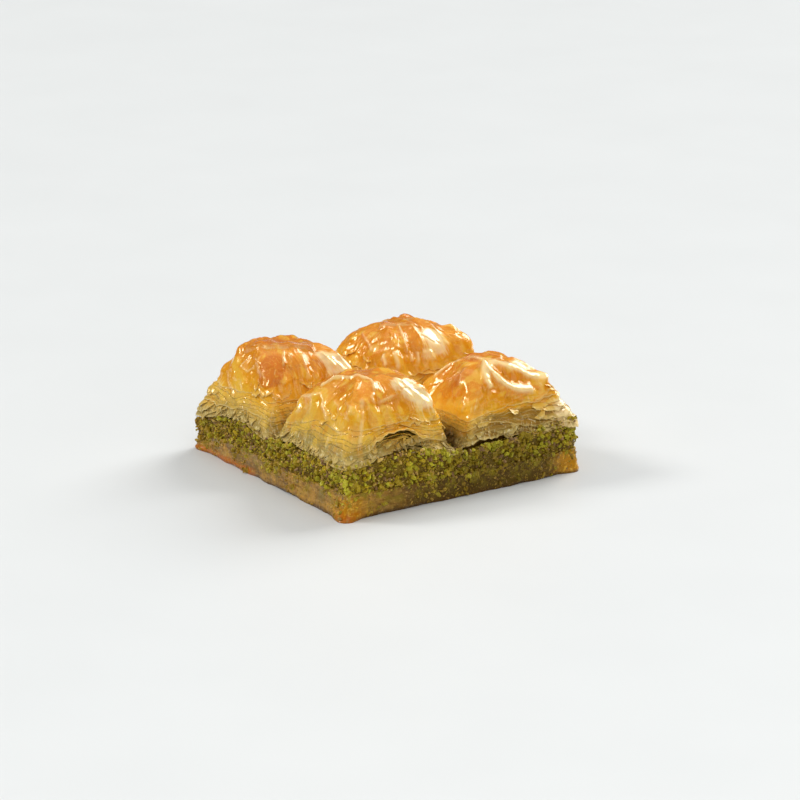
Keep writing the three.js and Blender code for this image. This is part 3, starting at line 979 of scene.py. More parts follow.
for name, kind in KINDS.items():
    on_sides, in_cut, smallest, largest, dragged, levels, seed, *colours = kind
    draw = np.random.default_rng(seed)
    mean_size = (smallest + largest) / 2
    spots = [side_places(draw, on_sides, mean_size, dragged, seed)]
    spots.append(cut_places(draw, in_cut, mean_size))
    if name in IN_HANDFULS:
        spots.append(handful_places(draw, mean_size))
    spots = np.concatenate(spots)
    radii = smallest + (largest - smallest) * draw.random(len(spots)) ** 2.2
    strew(name, spots, radii, pistachio_finish(name, *colours), seed + 50, levels)

# %% [markdown]
# ## The form of a mound
#
# Each mound is a quarter of the upper stack that rose in the oven. Its plan is square at the skirt
# and round at the crown, its shoulders differ from corner to corner, and a few pleats of the top
# sheet run down it. The form is one function of a direction and a share of the height, from 0 at
# the skirt to 1 at the crown. It repeats the one that made the solids, so both have the same shape.

# %% The four mounds
# The solid it covers, which quarter it stands on, how high its crown is and how far that is off the
# middle. The last three have a value for each corner: how sharp its shoulder is, what share its side
# draws in above the skirt, and how many mm the skirt reaches out.
MOUNDS = {
    "near": {
        "node": "crust_near", "stands": (-1, -1), "crown": CROWN + 0.4, "drift": (1, -1),
        "shoulder": (2.7, 2.7, 3.1, 4.6), "draw_in": (0.02, 0.02, 0.06, 0.11),
        "reach_out": (0, 0.2, 0.6, 0.3),
    },
    "right": {
        "node": "crust_right", "stands": (1, -1), "crown": CROWN - 2.1, "drift": (1.5, -1),
        "shoulder": (2.8, 2.1, 3.2, 2.7), "draw_in": (0.03, 0.03, 0.03, 0.06),
        "reach_out": (0.4, 0.1, 0, 1.1),
    },
    "left": {
        "node": "crust_left", "stands": (-1, 1), "crown": CROWN - 0.4, "drift": (-2, 1.5),
        "shoulder": (2.6, 2.7, 2.9, 3.7), "draw_in": (0.02, 0.02, 0.04, 0.02),
        "reach_out": (0.3, 2.4, 0.4, 0),
    },
    "far": {
        "node": "crust_far", "stands": (1, 1), "crown": CROWN - 0.8, "drift": (-1.5, 1),
        "shoulder": (2.9, 2.8, 2.7, 3.7), "draw_in": (0.03, 0.04, 0.03, 0.03),
        "reach_out": (0.6, 0.2, 0, 0.2),
    },
}
# Pleats: where each starts and ends from the mound's middle, its height and its half width.
PLEATS = {
    "near": [
        ((-4, -2), (-19, -18), 1.1, 1.8), ((-15, 7), (-19, -3), 1.7, 3.4),
        ((2, -6), (8, -20), 1.0, 2.0), ((6, 2), (18, -5), 0.9, 2.2),
        ((-3, 6), (4, 19), 0.9, 2.0),
    ],
    "right": [
        ((-6, 3), (-15, -12), 1.2, 2.2), ((2, 1), (4, -16), 1.3, 1.8),
        ((4, 4), (15, -11), 1.3, 2.0), ((7, 7), (20, 0), 1.1, 2.0),
        ((-8, 8), (-6, 19), 0.9, 2.0),
    ],
    "left": [
        ((-12, 12), (13, 9), 1.5, 3.2), ((-9, 4), (-17, -10), 1.0, 2.0),
        ((7, 3), (12, -15), 1.2, 2.0), ((-2, -3), (-5, -18), 0.9, 2.4),
    ],
    "far": [
        ((-1, 5), (-2, -17), 1.3, 1.3), ((-7, 2), (-12, -14), 1.0, 1.6),
        ((5, 0), (7, -16), 1.1, 1.5), ((9, 2), (16, -12), 1.1, 1.6),
        ((6, 9), (18, 10), 1.4, 2.4), ((14, -8), (17, -12), 2.6, 2.4),
    ],
}
# Open mouths between sheets: direction and half width in degrees, share of the height and depth.
MOUTHS = {
    "near": (-80, 22, 0.17, 2.2),
    "right": (-104, 16, 0.05, 1.6),
    "left": (165, 14, 0.12, 1.4),
    "far": (60, 18, 0.16, 1.6),
}
MOUTH_HEIGHT = 0.07  # share of the height
print("pleats:", {which: len(pleats) for which, pleats in PLEATS.items()})

# %% Its form as a function
PLAN_CORNER = (2.4, 18)  # from a round crown to a square skirt
CROWN_FLATNESS = 1.25
DRAW_IN_HEIGHT = 0.14  # share of the height over which the sides draw in
SKIRT_FROM = (0.86, 0.97)  # share of the reach where the skirt starts, and where it is full
SKIRT_WAVE = 0.45
SKIRT_WAVE_FROM = 0.5
PLEAT_HEIGHTS = (0.15, 0.6)  # the shares of the height between which the pleats come in
PLEAT_SHARE = 0.9  # mm by which the skin between the pleats lies lower


def by_corner(values, angle):
    """A value for a direction, from the values at the four corner directions."""
    corners = math.pi / 4 * (2 * np.arange(4) + 1)
    facing = np.maximum(0, np.cos(angle[..., None] - corners))
    return (facing**2 * np.array(values)).sum(-1)


def pleat_lift(which, x, y):
    """How far the pleats lift the skin at a place from the mound's middle."""
    lift = np.zeros_like(x)
    for begin, end, height, width in PLEATS[which]:
        run = np.subtract(end, begin)
        share = ((x - begin[0]) * run[0] + (y - begin[1]) * run[1]) / (run @ run)
        share = np.clip(share, 0, 1)
        off = np.hypot(x - begin[0] - share * run[0], y - begin[1] - share * run[1])
        lift += height * fade(off, width, 1.5)
    return lift


def mouth_depth(which, angle, height):
    """How far the open mouth draws the side in."""
    direction, half_width, level, deepest = MOUTHS[which]
    aside = angle - math.radians(direction)
    across = np.arctan2(np.sin(aside), np.cos(aside)) / math.radians(half_width)
    up = (height - level) / MOUTH_HEIGHT
    return deepest * np.exp(-(across**2) - up**2)


def mound_point(which, angle, height):
    """The mound's smooth surface for a direction and a share of its height."""
    mound = MOUNDS[which]
    angle, height = np.broadcast_arrays(angle, height)
    cos, sin = np.cos(angle), np.sin(angle)
    radius = np.maximum(0, 1 - height**CROWN_FLATNESS) ** (1 / by_corner(mound["shoulder"], angle))
    corner = PLAN_CORNER[0] + (PLAN_CORNER[1] - PLAN_CORNER[0]) * radius**2
    square = (np.abs(cos) ** corner + np.abs(sin) ** corner) ** (-1 / corner)
    draw_in = by_corner(mound["draw_in"], angle) * ramp(height, 0, DRAW_IN_HEIGHT)
    wander = SKIRT_WAVE * ripple(20 * cos, 20 * sin, 0, 7, mound["crown"])
    wave = wander * ramp(radius, SKIRT_WAVE_FROM, 1)
    skirt = by_corner(mound["reach_out"], angle) * ramp(radius, *SKIRT_FROM)
    mouth = mouth_depth(which, angle, height)
    reach = MOUND_HALF * radius * square * (1 - draw_in) + wave + skirt - mouth
    x = mound["drift"][0] * (1 - radius**2) + reach * cos
    y = mound["drift"][1] * (1 - radius**2) + reach * sin
    world_x = mound["stands"][0] * MOUND_MIDDLE + x
    world_y = mound["stands"][1] * MOUND_MIDDLE + y
    foot = filling_top(world_x, world_y)
    lift = (pleat_lift(which, x, y) - PLEAT_SHARE) * ramp(height, *PLEAT_HEIGHTS)
    return np.stack([world_x, world_y, foot + (mound["crown"] - foot) * height + lift], -1)


def mound_normal(which, angle, height):
    """The way out of the surface, from the points just beside it."""
    small_turn, small_rise = 0.02, 0.008
    up = mound_point(which, angle, np.clip(height + small_rise, 0, 1))
    down = mound_point(which, angle, np.clip(height - small_rise, 0, 1))
    before = mound_point(which, angle - small_turn, np.minimum(height, 1 - small_rise))
    after = mound_point(which, angle + small_turn, np.minimum(height, 1 - small_rise))
    normal = np.cross(down - up, after - before)
    normal[..., 2] += 1e-6  # at the very top all four may coincide
    return normal / np.linalg.norm(normal, axis=-1, keepdims=True)


for which, mound in MOUNDS.items():
    top = mound_point(which, np.zeros(1), np.ones(1))[0, 2]
    solid_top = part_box(mound["node"])[1].z / MM
    print(f"{which}: crown {top:.1f} mm, solid {solid_top:.1f} mm")

# %% [markdown]
# ## Distance down the slope
#
# Near the crown a mound is almost level and lower down almost upright, so equal steps of height
# would leave the crown bare of points. Everything that is laid on a mound is therefore measured in
# millimetres walked down the slope from the crown, its fall, and turned into a share of the height.

# %% Fall and height
RISE = CROWN - FILLING_TOP
TYPICAL_SHOULDER = 2.9

slope_height = 1 - np.linspace(0, 1, 600) ** 3
slope_reach = MOUND_HALF * (1 - slope_height**CROWN_FLATNESS) ** (1 / TYPICAL_SHOULDER)
slope_steps = np.hypot(np.diff(slope_reach), RISE * np.diff(slope_height))
slope_fall = np.concatenate([[0], np.cumsum(slope_steps)])
FALL = float(slope_fall[-1])


def height_at(fall):
    """The share of the height at a fall."""
    return np.interp(fall, slope_fall, slope_height)


def fall_at(height):
    """The fall at a share of the height."""
    return np.interp(-np.asarray(height), -slope_height, slope_fall)


print(f"from crown to skirt it is {FALL:.1f} mm down the slope")

# %% [markdown]
# ## Creases that this square has
#
# Where the skin folds over the edge of the flat crown, and where it was pinched as it dried, it has
# sharp creases. They are what gives each mound its own face, so they are listed: a height,
# a width and the points that the crease runs through, in millimetres from the mound's middle and
# above the tray. A negative height is a furrow.

# %% Creases
# Three pale ridges run out from one place on the front of the right mound's crown. The flats of
# film that are levelled further below follow them.
RIDGE_DOWN = [(-3.4, -6.4, 36.2), (-4.6, -9.9, 35.1), (-3.4, -12.9, 33.2), (-1.6, -14.4, 31.6),
              (0.6, -15.2, 30.3), (3.5, -15.8, 29.6), (7.0, -15.6, 29.0), (9.0, -15.4, 29.1)]
RIDGE_ASIDE = [(-3.4, -6.4, 36.2), (-6.6, -10.2, 34.9), (-7.8, -13.4, 32.9), (-7.1, -15.1, 30.9)]
RIDGE_ACROSS = [(-3.4, -6.4, 36.2), (0.2, -7.4, 36.4), (2.6, -10.4, 35.6), (5.5, -11.4, 34.0),
                (9.0, -12.2, 32.4), (12.5, -12.7, 31.0), (15.5, -13.2, 29.3)]
CREASES = {
    "near": [
        (1.0, 0.8, [(-13, 6, 34.5), (-11, 6.5, 35.5), (-9, 5, 37), (-7, 3, 38), (-6, -1.5, 38.5),
            (-4.5, -4.5, 39), (-2.5, -6.5, 38.5), (-3, -9, 38), (-4.5, -11.5, 36.5)]),
        (0.8, 0.9, [(-14, 4.5, 33), (-15, 8.5, 32), (-14.5, 13.5, 30.5), (-15.5, 15, 29),
            (-16.5, 14, 27.5), (-17.5, 11, 26.5)]),
        (0.6, 0.6, [(-13.5, 5.5, 34), (-15, 2, 32.5), (-16, 1, 31), (-16.5, -2, 29.5),
            (-17.5, -4.5, 28)]),
        (0.5, 1.1, [(-9.5, -12, 36), (-11.5, -15, 32), (-13, -17, 29), (-14.5, -19, 24.5),
            (-15.5, -20, 22)]),
        (-0.7, 1.0, [(-6, -15, 33), (-1.5, -15, 33.5), (2.5, -14.5, 34.5), (6, -15, 34.5)]),
        (0.5, 0.7, [(-5, -14.5, 34), (0.5, -14, 35), (5, -14, 36)]),
        (0.6, 0.6, [(-4.5, -11.5, 36.5), (-6.5, -13, 35.5), (-6, -14.5, 33.5)]),
        (0.6, 1.0, [(3.5, -9.5, 39.5), (6, -12, 38), (9, -14.5, 35), (12.5, -16.5, 31)]),
        (0.4, 0.7, [(2, -9, 39), (4, -12.5, 38), (6, -14.5, 35), (8.5, -16, 32)]),
        (0.35, 0.5, [(-17.5, -6, 27), (-18, -11, 26), (-18, -15.5, 26)]),
        (0.35, 0.5, [(-13.5, -2, 33), (-14.5, -7, 32), (-16, -8.5, 30)]),
        (0.35, 0.5, [(-13, -8.5, 34), (-14, -13, 33.5), (-15.5, -14.5, 31)]),
    ],
    "left": [
        (0.7, 0.8, [(-12.5, 7, 35.5), (-11, 2.5, 37), (-9, -1, 37.5), (-5, -5, 38), (0, -7, 38),
            (4.5, -9.5, 37), (7.5, -12.5, 35)]),
        (0.5, 0.6, [(-12, 3.5, 35.5), (-15.5, 4.5, 31.5), (-16, 0, 31), (-14.5, -2.5, 33.5),
            (-13.5, -4.5, 35)]),
        (0.5, 0.6, [(-5, -5.5, 38), (-7.5, -8.5, 36.5), (-9, -11.5, 34)]),
        (0.4, 0.8, [(-12.5, -2, 36.5), (-15, -5.5, 33), (-16, -11.5, 31)]),
        (0.6, 0.7, [(-17, -14.5, 28), (-16, -16, 27), (-14, -17, 25.5)]),
        (0.5, 0.6, [(-17, -9, 29.5), (-17.5, -12.5, 28)]),
        (0.9, 0.8, [(5, -10, 36.5), (7, -13, 34.5), (8.5, -15.5, 31.5)]),
        (0.8, 0.8, [(7.5, -11, 36), (9, -14, 33.5), (11, -16, 31.5)]),
        (0.5, 0.6, [(-4.5, -7, 37.5), (-5.5, -10.5, 36), (-7.5, -12.5, 33.5)]),
        (0.5, 0.6, [(-1.5, -9, 37), (-2, -12, 35), (-2, -14.5, 32), (-1.5, -16, 29)]),
        (0.4, 0.5, [(-18, 9.5, 26.5), (-19, 5, 24.5), (-20.5, 3.5, 22.5)]),
        (0.4, 0.5, [(-17.5, 2, 28), (-19, -1.5, 25.5)]),
    ],
    "right": [
        (0.9, 0.7, [(-5, 2.5, 36), (-3, 1, 36), (-1.5, -2.5, 36.5), (0.5, -5.5, 36.5)]),
        (1.5, 1.8, RIDGE_DOWN),
        (1.3, 1.6, RIDGE_ASIDE),
        (1.4, 1.9, RIDGE_ACROSS),
        (-0.5, 1.0, [(-0.2, -10.8, 34.9), (1.0, -13, 32.9), (3.0, -14.0, 31.6), (7, -14.4, 30.6)]),
        (0.5, 0.6, [(-11, -13.5, 32.5), (-11.5, -15.5, 30.5), (-12, -16.5, 28.5)]),
        (0.9, 0.9, [(-13, 9.5, 29), (-10.5, 8.5, 31.5), (-7, 5.5, 34.5), (-6, 2.5, 36)]),
        (0.4, 0.6, [(-16, -11, 28.5), (-17, -14, 27), (-18, -13, 24.5)]),
        (0.5, 0.7, [(-9, -3.5, 35.5), (-12, -6, 33.5), (-14.5, -8.5, 31)]),
    ],
    "far": [
        (1.0, 0.7, [(-4, -2.5, 37.5), (-6, -7.5, 36.5), (-7.5, -11, 34), (-8, -14, 31.5)]),
        (1.0, 1.0, [(-14.5, -9.5, 32), (-16, -13, 29), (-16.5, -14.5, 26)]),
        (1.0, 1.0, [(-12.5, -12, 33), (-13, -15, 30), (-13.5, -16.5, 27)]),
        (0.9, 0.9, [(-6.5, -13.5, 32), (-7.5, -16, 28.5)]),
        (0.9, 0.9, [(-4, -13.5, 32), (-5, -16, 28)]),
        (1.0, 1.0, [(-0.5, -14.5, 32), (0.5, -17, 28)]),
        (0.9, 0.7, [(-9.5, 1.5, 36.5), (-7.5, -1, 38), (-4.5, -2, 37.5), (-2.5, -4.5, 38),
            (-1, -7, 38), (2.5, -8, 37)]),
        (0.5, 0.9, [(-12, 7, 34.5), (-14, 1, 33), (-15.5, -4.5, 31)]),
        (-0.5, 0.9, [(-9, -3.5, 37.5), (-11, -8.5, 35.5), (-11.5, -11.5, 34)]),
    ],
}
CREASE_ENDS = 1.6  # mm over which a crease starts and ends
BLUNT_FROM = 1.15  # mm: a crease this wide has a flat top
SHARP, BLUNT = 1.2, 2.4  # the power that shapes a crease's section, without and with a flat top
# A ridge's pale is partly pale sheet and partly a painted highlight.
SHARP_PALE, BLUNT_PALE = 0.65, 0.75  # share of a ridge's width that is drawn out pale
LEAST_PALE = 0.45  # mm


def middle_of(which):
    """The mound's middle at tray height, in millimetres."""
    across, along = MOUNDS[which]["stands"]
    return np.array([across * MOUND_MIDDLE, along * MOUND_MIDDLE, 0])


def nearest_on_path(local, path):
    """Each point's offset from the nearest place on a path, how far along and which way the path
    runs there, and how long it is."""
    path = np.array(path, dtype=float)
    nearest = np.full(local.shape[:-1], np.inf)
    along = np.zeros(local.shape[:-1])
    offset, heading = np.zeros(local.shape), np.zeros(local.shape)
    walked = 0.0
    for begin, end in zip(path, [*path[1:], path[-1]]):
        run = end - begin
        share = np.clip(((local - begin) @ run) / max(run @ run, 1e-9), 0, 1)
        from_path = local - begin - share[..., None] * run
        away = np.linalg.norm(from_path, axis=-1)
        closer = away < nearest - 1e-9
        length = math.sqrt(run @ run)
        nearest = np.where(closer, away, nearest)
        along = np.where(closer, walked + share * length, along)
        offset[closer], heading[closer] = from_path[closer], run
        walked += length
    return offset, along, heading, walked


def crease_lift(which, point):
    """How far the creases lift the skin, and how close each point is to a ridge."""
    local = point - middle_of(which)
    lift = np.zeros(point.shape[:-1])
    ridge = np.zeros(point.shape[:-1])
    for height, width, path in CREASES[which]:
        offset, along, _, length = nearest_on_path(local, path)
        away = np.linalg.norm(offset, axis=-1)
        ends = ramp(along, -0.2, CREASE_ENDS) * ramp(length - along, -0.2, CREASE_ENDS)
        is_blunt = width >= BLUNT_FROM
        lift += height * ends * fade(away, width, BLUNT if is_blunt else SHARP)
        if height > 0:
            pale_width = BLUNT_PALE * width if is_blunt else max(LEAST_PALE, SHARP_PALE * width)
            ridge = np.maximum(ridge, ends * height * fade(away, pale_width, 3))
    return lift, np.clip(ridge, 0, 1)


print("creases:", {which: len(paths) for which, paths in CREASES.items()})

# %% [markdown]
# The browned top sheets broke off along the front of the flat crown and lie there as a cap, a step
# above the skin in front of them. And no mound is as regular as its form: here and there it bulges
# or sags by a millimetre or two. In some places the film was pulled taut and lies flat, turned so
# that it mirrors the right window. All three are small tables too, in the same millimetres.

# %% Caps, bulges and flats
# A cap's thickness, how pale its rim is, and its front edge with the crown on its left.
CAPS = {
    "near": (0.45, 0.8, [(-13, 6), (-11, 6.5), (-9, 5), (-7, 3), (-6, -1.5), (-4.5, -4.5),
                         (-2.5, -6.5)]),
    "left": (1.0, 0.1, [(-13, 8), (-11, 2.5), (-9, -1), (-5, -5), (0, -7), (4.5, -9.5)]),
    "right": (0.7, 0.3, [(-6, 6), (-5, 2.5), (-3, 1), (-1.5, -2.5), (0.5, -5.5), (3.2, -7.4)]),
    "far": (0.7, 0.1, [(-9.5, 1.5), (-7.5, -1), (-4.5, -2), (-2.5, -4.5), (-1, -7), (2.5, -8)]),
}
CAP_EDGE = (-0.15, 0.35)  # mm over which the step rises
CAP_FADE = 9.0  # mm behind its edge over which the cap thins out again
CAP_RIM = 0.45  # mm: half width of the pale rim on the step
# Soft round bulges: the place, the reach and the height of each.
BULGES = {
    "near": [(-14.4, -13, 32.9, 5.0, 0.5)],
    "left": [(-11.0, 11.5, 36.5, 3.0, 0.6), (-17, 16.5, 26, 4.0, -0.7),
             (2.6, 2.1, 38, 6.0, -1.1), (7, -9, 37, 4.0, -1.0),
             (-16.2, 15.4, 28.2, 2.6, 0.9), (-14.5, 13.5, 32.5, 3.0, -0.8),
             (-18.8, 18.2, 21.5, 3.5, 1.0)],
    "right": [(5.2, 1.3, 37.6, 6.0, -1.3), (11.9, -12, 32.4, 3.5, -0.8),
              (15.9, -15, 27.5, 4.5, 1.5), (18.5, -18, 22, 4.5, 0.7),
              (19.6, -18.9, 20.2, 4.0, 0.8), (21.4, -20.6, 16.8, 3.0, 1.6),
              (-13, -6, 33, 5.0, 0.9), (-1, 3, 36.2, 3.0, 1.7), (13.5, -10.5, 31.5, 3.0, 0.9)],
    "far": [(-2, 5, 38.2, 7.0, -0.6), (16, -13.5, 31, 4.5, 1.6), (10, -14, 33, 5.0, 0.7),
            (7, -10, 36.5, 4.0, -0.7)],
}
# The points that a flat runs through, and its reach.
FLATS = {
    "near": [([(6.5, -13.3, 36.6)], 3.8), ([(12.0, -15.7, 32.6)], 3.0)],
    "right": [(RIDGE_DOWN[:-1], 1.7), (RIDGE_ASIDE, 1.5), (RIDGE_ACROSS[:-1], 1.9)],
    "left": [([(6.0, -12.0, 35.4)], 3.0), ([(10.0, -15.0, 32.4)], 3.2), ([(2.9, -8.5, 37.2)], 2.4)],
    "far": [([(2.8, -12.4, 35.1)], 5.0)],
}
FLAT_FACING = np.array([0.264, -0.563, 0.784])  # about half way between window and camera
FLAT_LIMIT = 1.2  # mm


def cap_lift(which, point):
    """How far the cap stands out, how near its rim each point is, how pale that is, and whether
    the point is on the cap."""
    thickness, paleness, path = CAPS[which]
    local = (point - middle_of(which))[..., :2]
    offset, along, heading, length = nearest_on_path(local, path)
    crown_side = np.sign(heading[..., 0] * offset[..., 1] - heading[..., 1] * offset[..., 0])
    signed = np.linalg.norm(offset, axis=-1) * crown_side
    ends = ramp(along, 0, CREASE_ENDS) * ramp(length - along, 0, CREASE_ENDS)
    on_cap = ramp(signed, *CAP_EDGE) * ends
    lift = thickness * on_cap * fade(np.maximum(signed, 0), CAP_FADE)
    return lift, ends * fade(signed - CAP_EDGE[1], CAP_RIM), paleness, on_cap


def on_flat(which, local):
    """How far each point is on a flat, from 0 to 1, and the lift that levels it."""
    lift, share = np.zeros(local.shape[:-1]), np.zeros(local.shape[:-1])
    for path, reach in FLATS[which]:
        offset = nearest_on_path(local, path)[0]
        near = fade(np.linalg.norm(offset, axis=-1), reach, 4)
        rise = -(offset @ FLAT_FACING)
        lift += near * FLAT_LIMIT * np.tanh(rise / FLAT_LIMIT)
        share = np.maximum(share, near)
    return share, lift


def spot_sum(local, spots):
    """Soft round spots added up, from the place, the reach and the strength of each."""
    total = np.zeros(local.shape[:-1])
    for *centre, reach, strength in spots:
        total += strength * fade(np.linalg.norm(local - centre, axis=-1), reach)
    return total


def bulge_lift(which, point):
    """How far the bulges and flats lift the skin."""
    local = point - middle_of(which)
    return spot_sum(local, BULGES[which]) + on_flat(which, local)[1]


print("caps:", {which: cap[0] for which, cap in CAPS.items()})

# %% [markdown]
# ## Wrinkles of the skin
#
# Between those creases the topmost sheet crumpled as it dried under the syrup: soft folds that run
# down from the crown, finer crinkles between them, and small blisters. All sheets of a mound are
# pressed together, so they share these wrinkles: the relief is a function of the place on the mound
# alone, and a loose sheet that is laid on it follows every fold.

# %% Relief that all sheets of a mound share
FOLD_HEIGHT = 0.5  # ribs that run down from the crown
SWELL_HEIGHT = 0.4  # broad and soft
FACET_HEIGHT = 0.5  # facets of crumpled film, 7 mm wide
CRINKLE_HEIGHT = 0.2  # the same, 3 mm wide
FINE_HEIGHT = 0.08
BLISTER_HEIGHT = 0.15
STRING_HEIGHT = 0.25
NOISE_RING = 22.0  # mm: radius of the ring on which noise is read
# Where syrup pooled and set smooth: middle, and reach in mm.
SMOOTH = {
    "near": [(-11, -4, 36.5, 4.0), (-6, -10.5, 36.5, 4.0), (-17, -6, 28, 4.0)],
    "right": [(-14, -4, 31, 8.0), (-12, -10, 31, 5.0)],
    "left": [(-12, -8.5, 34.8, 6.0), (4, -13, 34.5, 3.5)],
    "far": [(4, -12.5, 34.5, 5.0), (-14, -5, 33, 5.0), (-10, -6, 36, 5.0), (9, -13, 33, 3.0)],
}


def mound_seed(which):
    """A seed of its own for each mound."""
    return 100 + sum(map(ord, which))


def facets(which, x, y, z):
    """The crumpled film's wide and narrow facets, from about -1 to 1: its colour follows them."""
    bumps = Bumps(mound_seed(which) + 40)
    return bumps.crumpled(x, y, 0.8 * z, 7.0), bumps.crumpled(x + 50, y, 0.8 * z, 3.2)


def skin_relief(which, angle, fall, point):
    """How far the skin stands out, in mm, for a place on the mound."""
    bumps = Bumps(mound_seed(which))
    x, y, z = np.moveaxis(point, -1, 0)
    off_crown = ramp(fall, 2.0, 9.0)
    sway = 0.4 * bumps(x, y, z, 9)
    cos, sin = np.cos(angle + sway), np.sin(angle + sway)
    ribs = bumps.creased(7 * cos, 7 * sin, 0.05 * fall, 2.9, 2)
    here_and_there = ramp(bumps(x, y, z + 40, 8), -0.35, 0.4)
    folds = FOLD_HEIGHT * (ribs**4 - 0.25) * off_crown * here_and_there
    swell = SWELL_HEIGHT * bumps.layered(x, y, z, 9, 2)
    wide, narrow = facets(which, x, y, z)
    patchy = ramp(bumps(x, y, z, 6.5), -0.35, 0.45)
    film = FACET_HEIGHT * wide + CRINKLE_HEIGHT * narrow * (0.3 + 0.9 * patchy)
    around_x, around_y = NOISE_RING * np.cos(angle), NOISE_RING * np.sin(angle)
    strings = bumps.creased(around_x, around_y, 0.3 * fall, 2.1, 2) ** 4 - 0.25
    strings = STRING_HEIGHT * strings * ramp(bumps(x, y, z - 60, 7), -0.3, 0.5) * off_crown
    blisters = BLISTER_HEIGHT * np.maximum(0, bumps(x, y, z, 1.9)) ** 2 * patchy
    low = ramp(fall, 16, 28)
    fine = FINE_HEIGHT * low * (bumps.creased(x, y, 0.7 * z, 1.2, 2) ** 2 - 0.5)
    flaky = around(FLAKY[which], angle, 1)
    calm = 1 - ramp(fall, 20, 29) * (0.7 - 0.3 * flaky)
    calm = calm * (0.25 + 0.75 * ramp(fall, 3, 11))
    local = point - middle_of(which)
    for *centre, reach in SMOOTH[which]:
        calm = calm * (1 - 0.8 * fade(np.linalg.norm(local - centre, axis=-1), reach, 4))
    calm = calm * (1 - 0.75 * on_flat(which, local)[0])
    return calm * (folds + swell + film + strings + blisters + fine)


print("smooth pools:", {which: len(pools) for which, pools in SMOOTH.items()})

# %% [markdown]
# The topmost sheets are also torn: they cover the crown, reach down the sides in tongues, and leave
# islands. Each torn sheet is a threshold on a noise, and the threshold rises down the slope. Where
# the sheet is still there the skin stands a sheet's thickness higher, and is browner.

# %% Torn top sheets
TEARS = [
    # (fall where the sheet is half gone, mm over which it goes, size of its tongues in mm)
    (13.5, 9.0, 6.5),
    (21.0, 9.0, 5.0),
    (28.0, 7.0, 4.0),
]
TORN_SHEET = 0.2  # mm by which a torn sheet stands out
SKIN_SINK = 0.5  # mm by which the smooth form is sunk, so that the sheets on it end level with it


def torn_cover(which, fall, point):
    """How many of the torn sheets, as a share, cover each point, and how far they stand out."""
    bumps = Bumps(mound_seed(which) + 900)
    x, y, z = np.moveaxis(point, -1, 0)
    cover = np.zeros(np.broadcast(x, fall).shape)
    for number, (half_gone, spread, size) in enumerate(TEARS):
        shift = 50.0 * number
        tongue = bumps.layered(x + shift, y - shift, 0.7 * z, size, 3, 0.55)
        keep = 0.75 * tongue - (fall - half_gone) / spread
        cover += ramp(keep, -0.03, 0.03)
    return cover / len(TEARS), TORN_SHEET * cover


def all_relief(which, angle, fall, point):
    """How far the skin stands out in all, and the ridges, caps and torn sheets for its finish."""
    lift, ridge = crease_lift(which, point)
    stepped, rim, paleness, on_cap = cap_lift(which, point)
    cover, torn = torn_cover(which, fall, point)
    relief = skin_relief(which, angle, fall, point) + lift + stepped + torn
    relief = relief + bulge_lift(which, point) - SKIN_SINK
    return relief, ridge * (1 - rim) + paleness * rim, on_cap, cover


print("torn sheets on each mound:", len(TEARS))
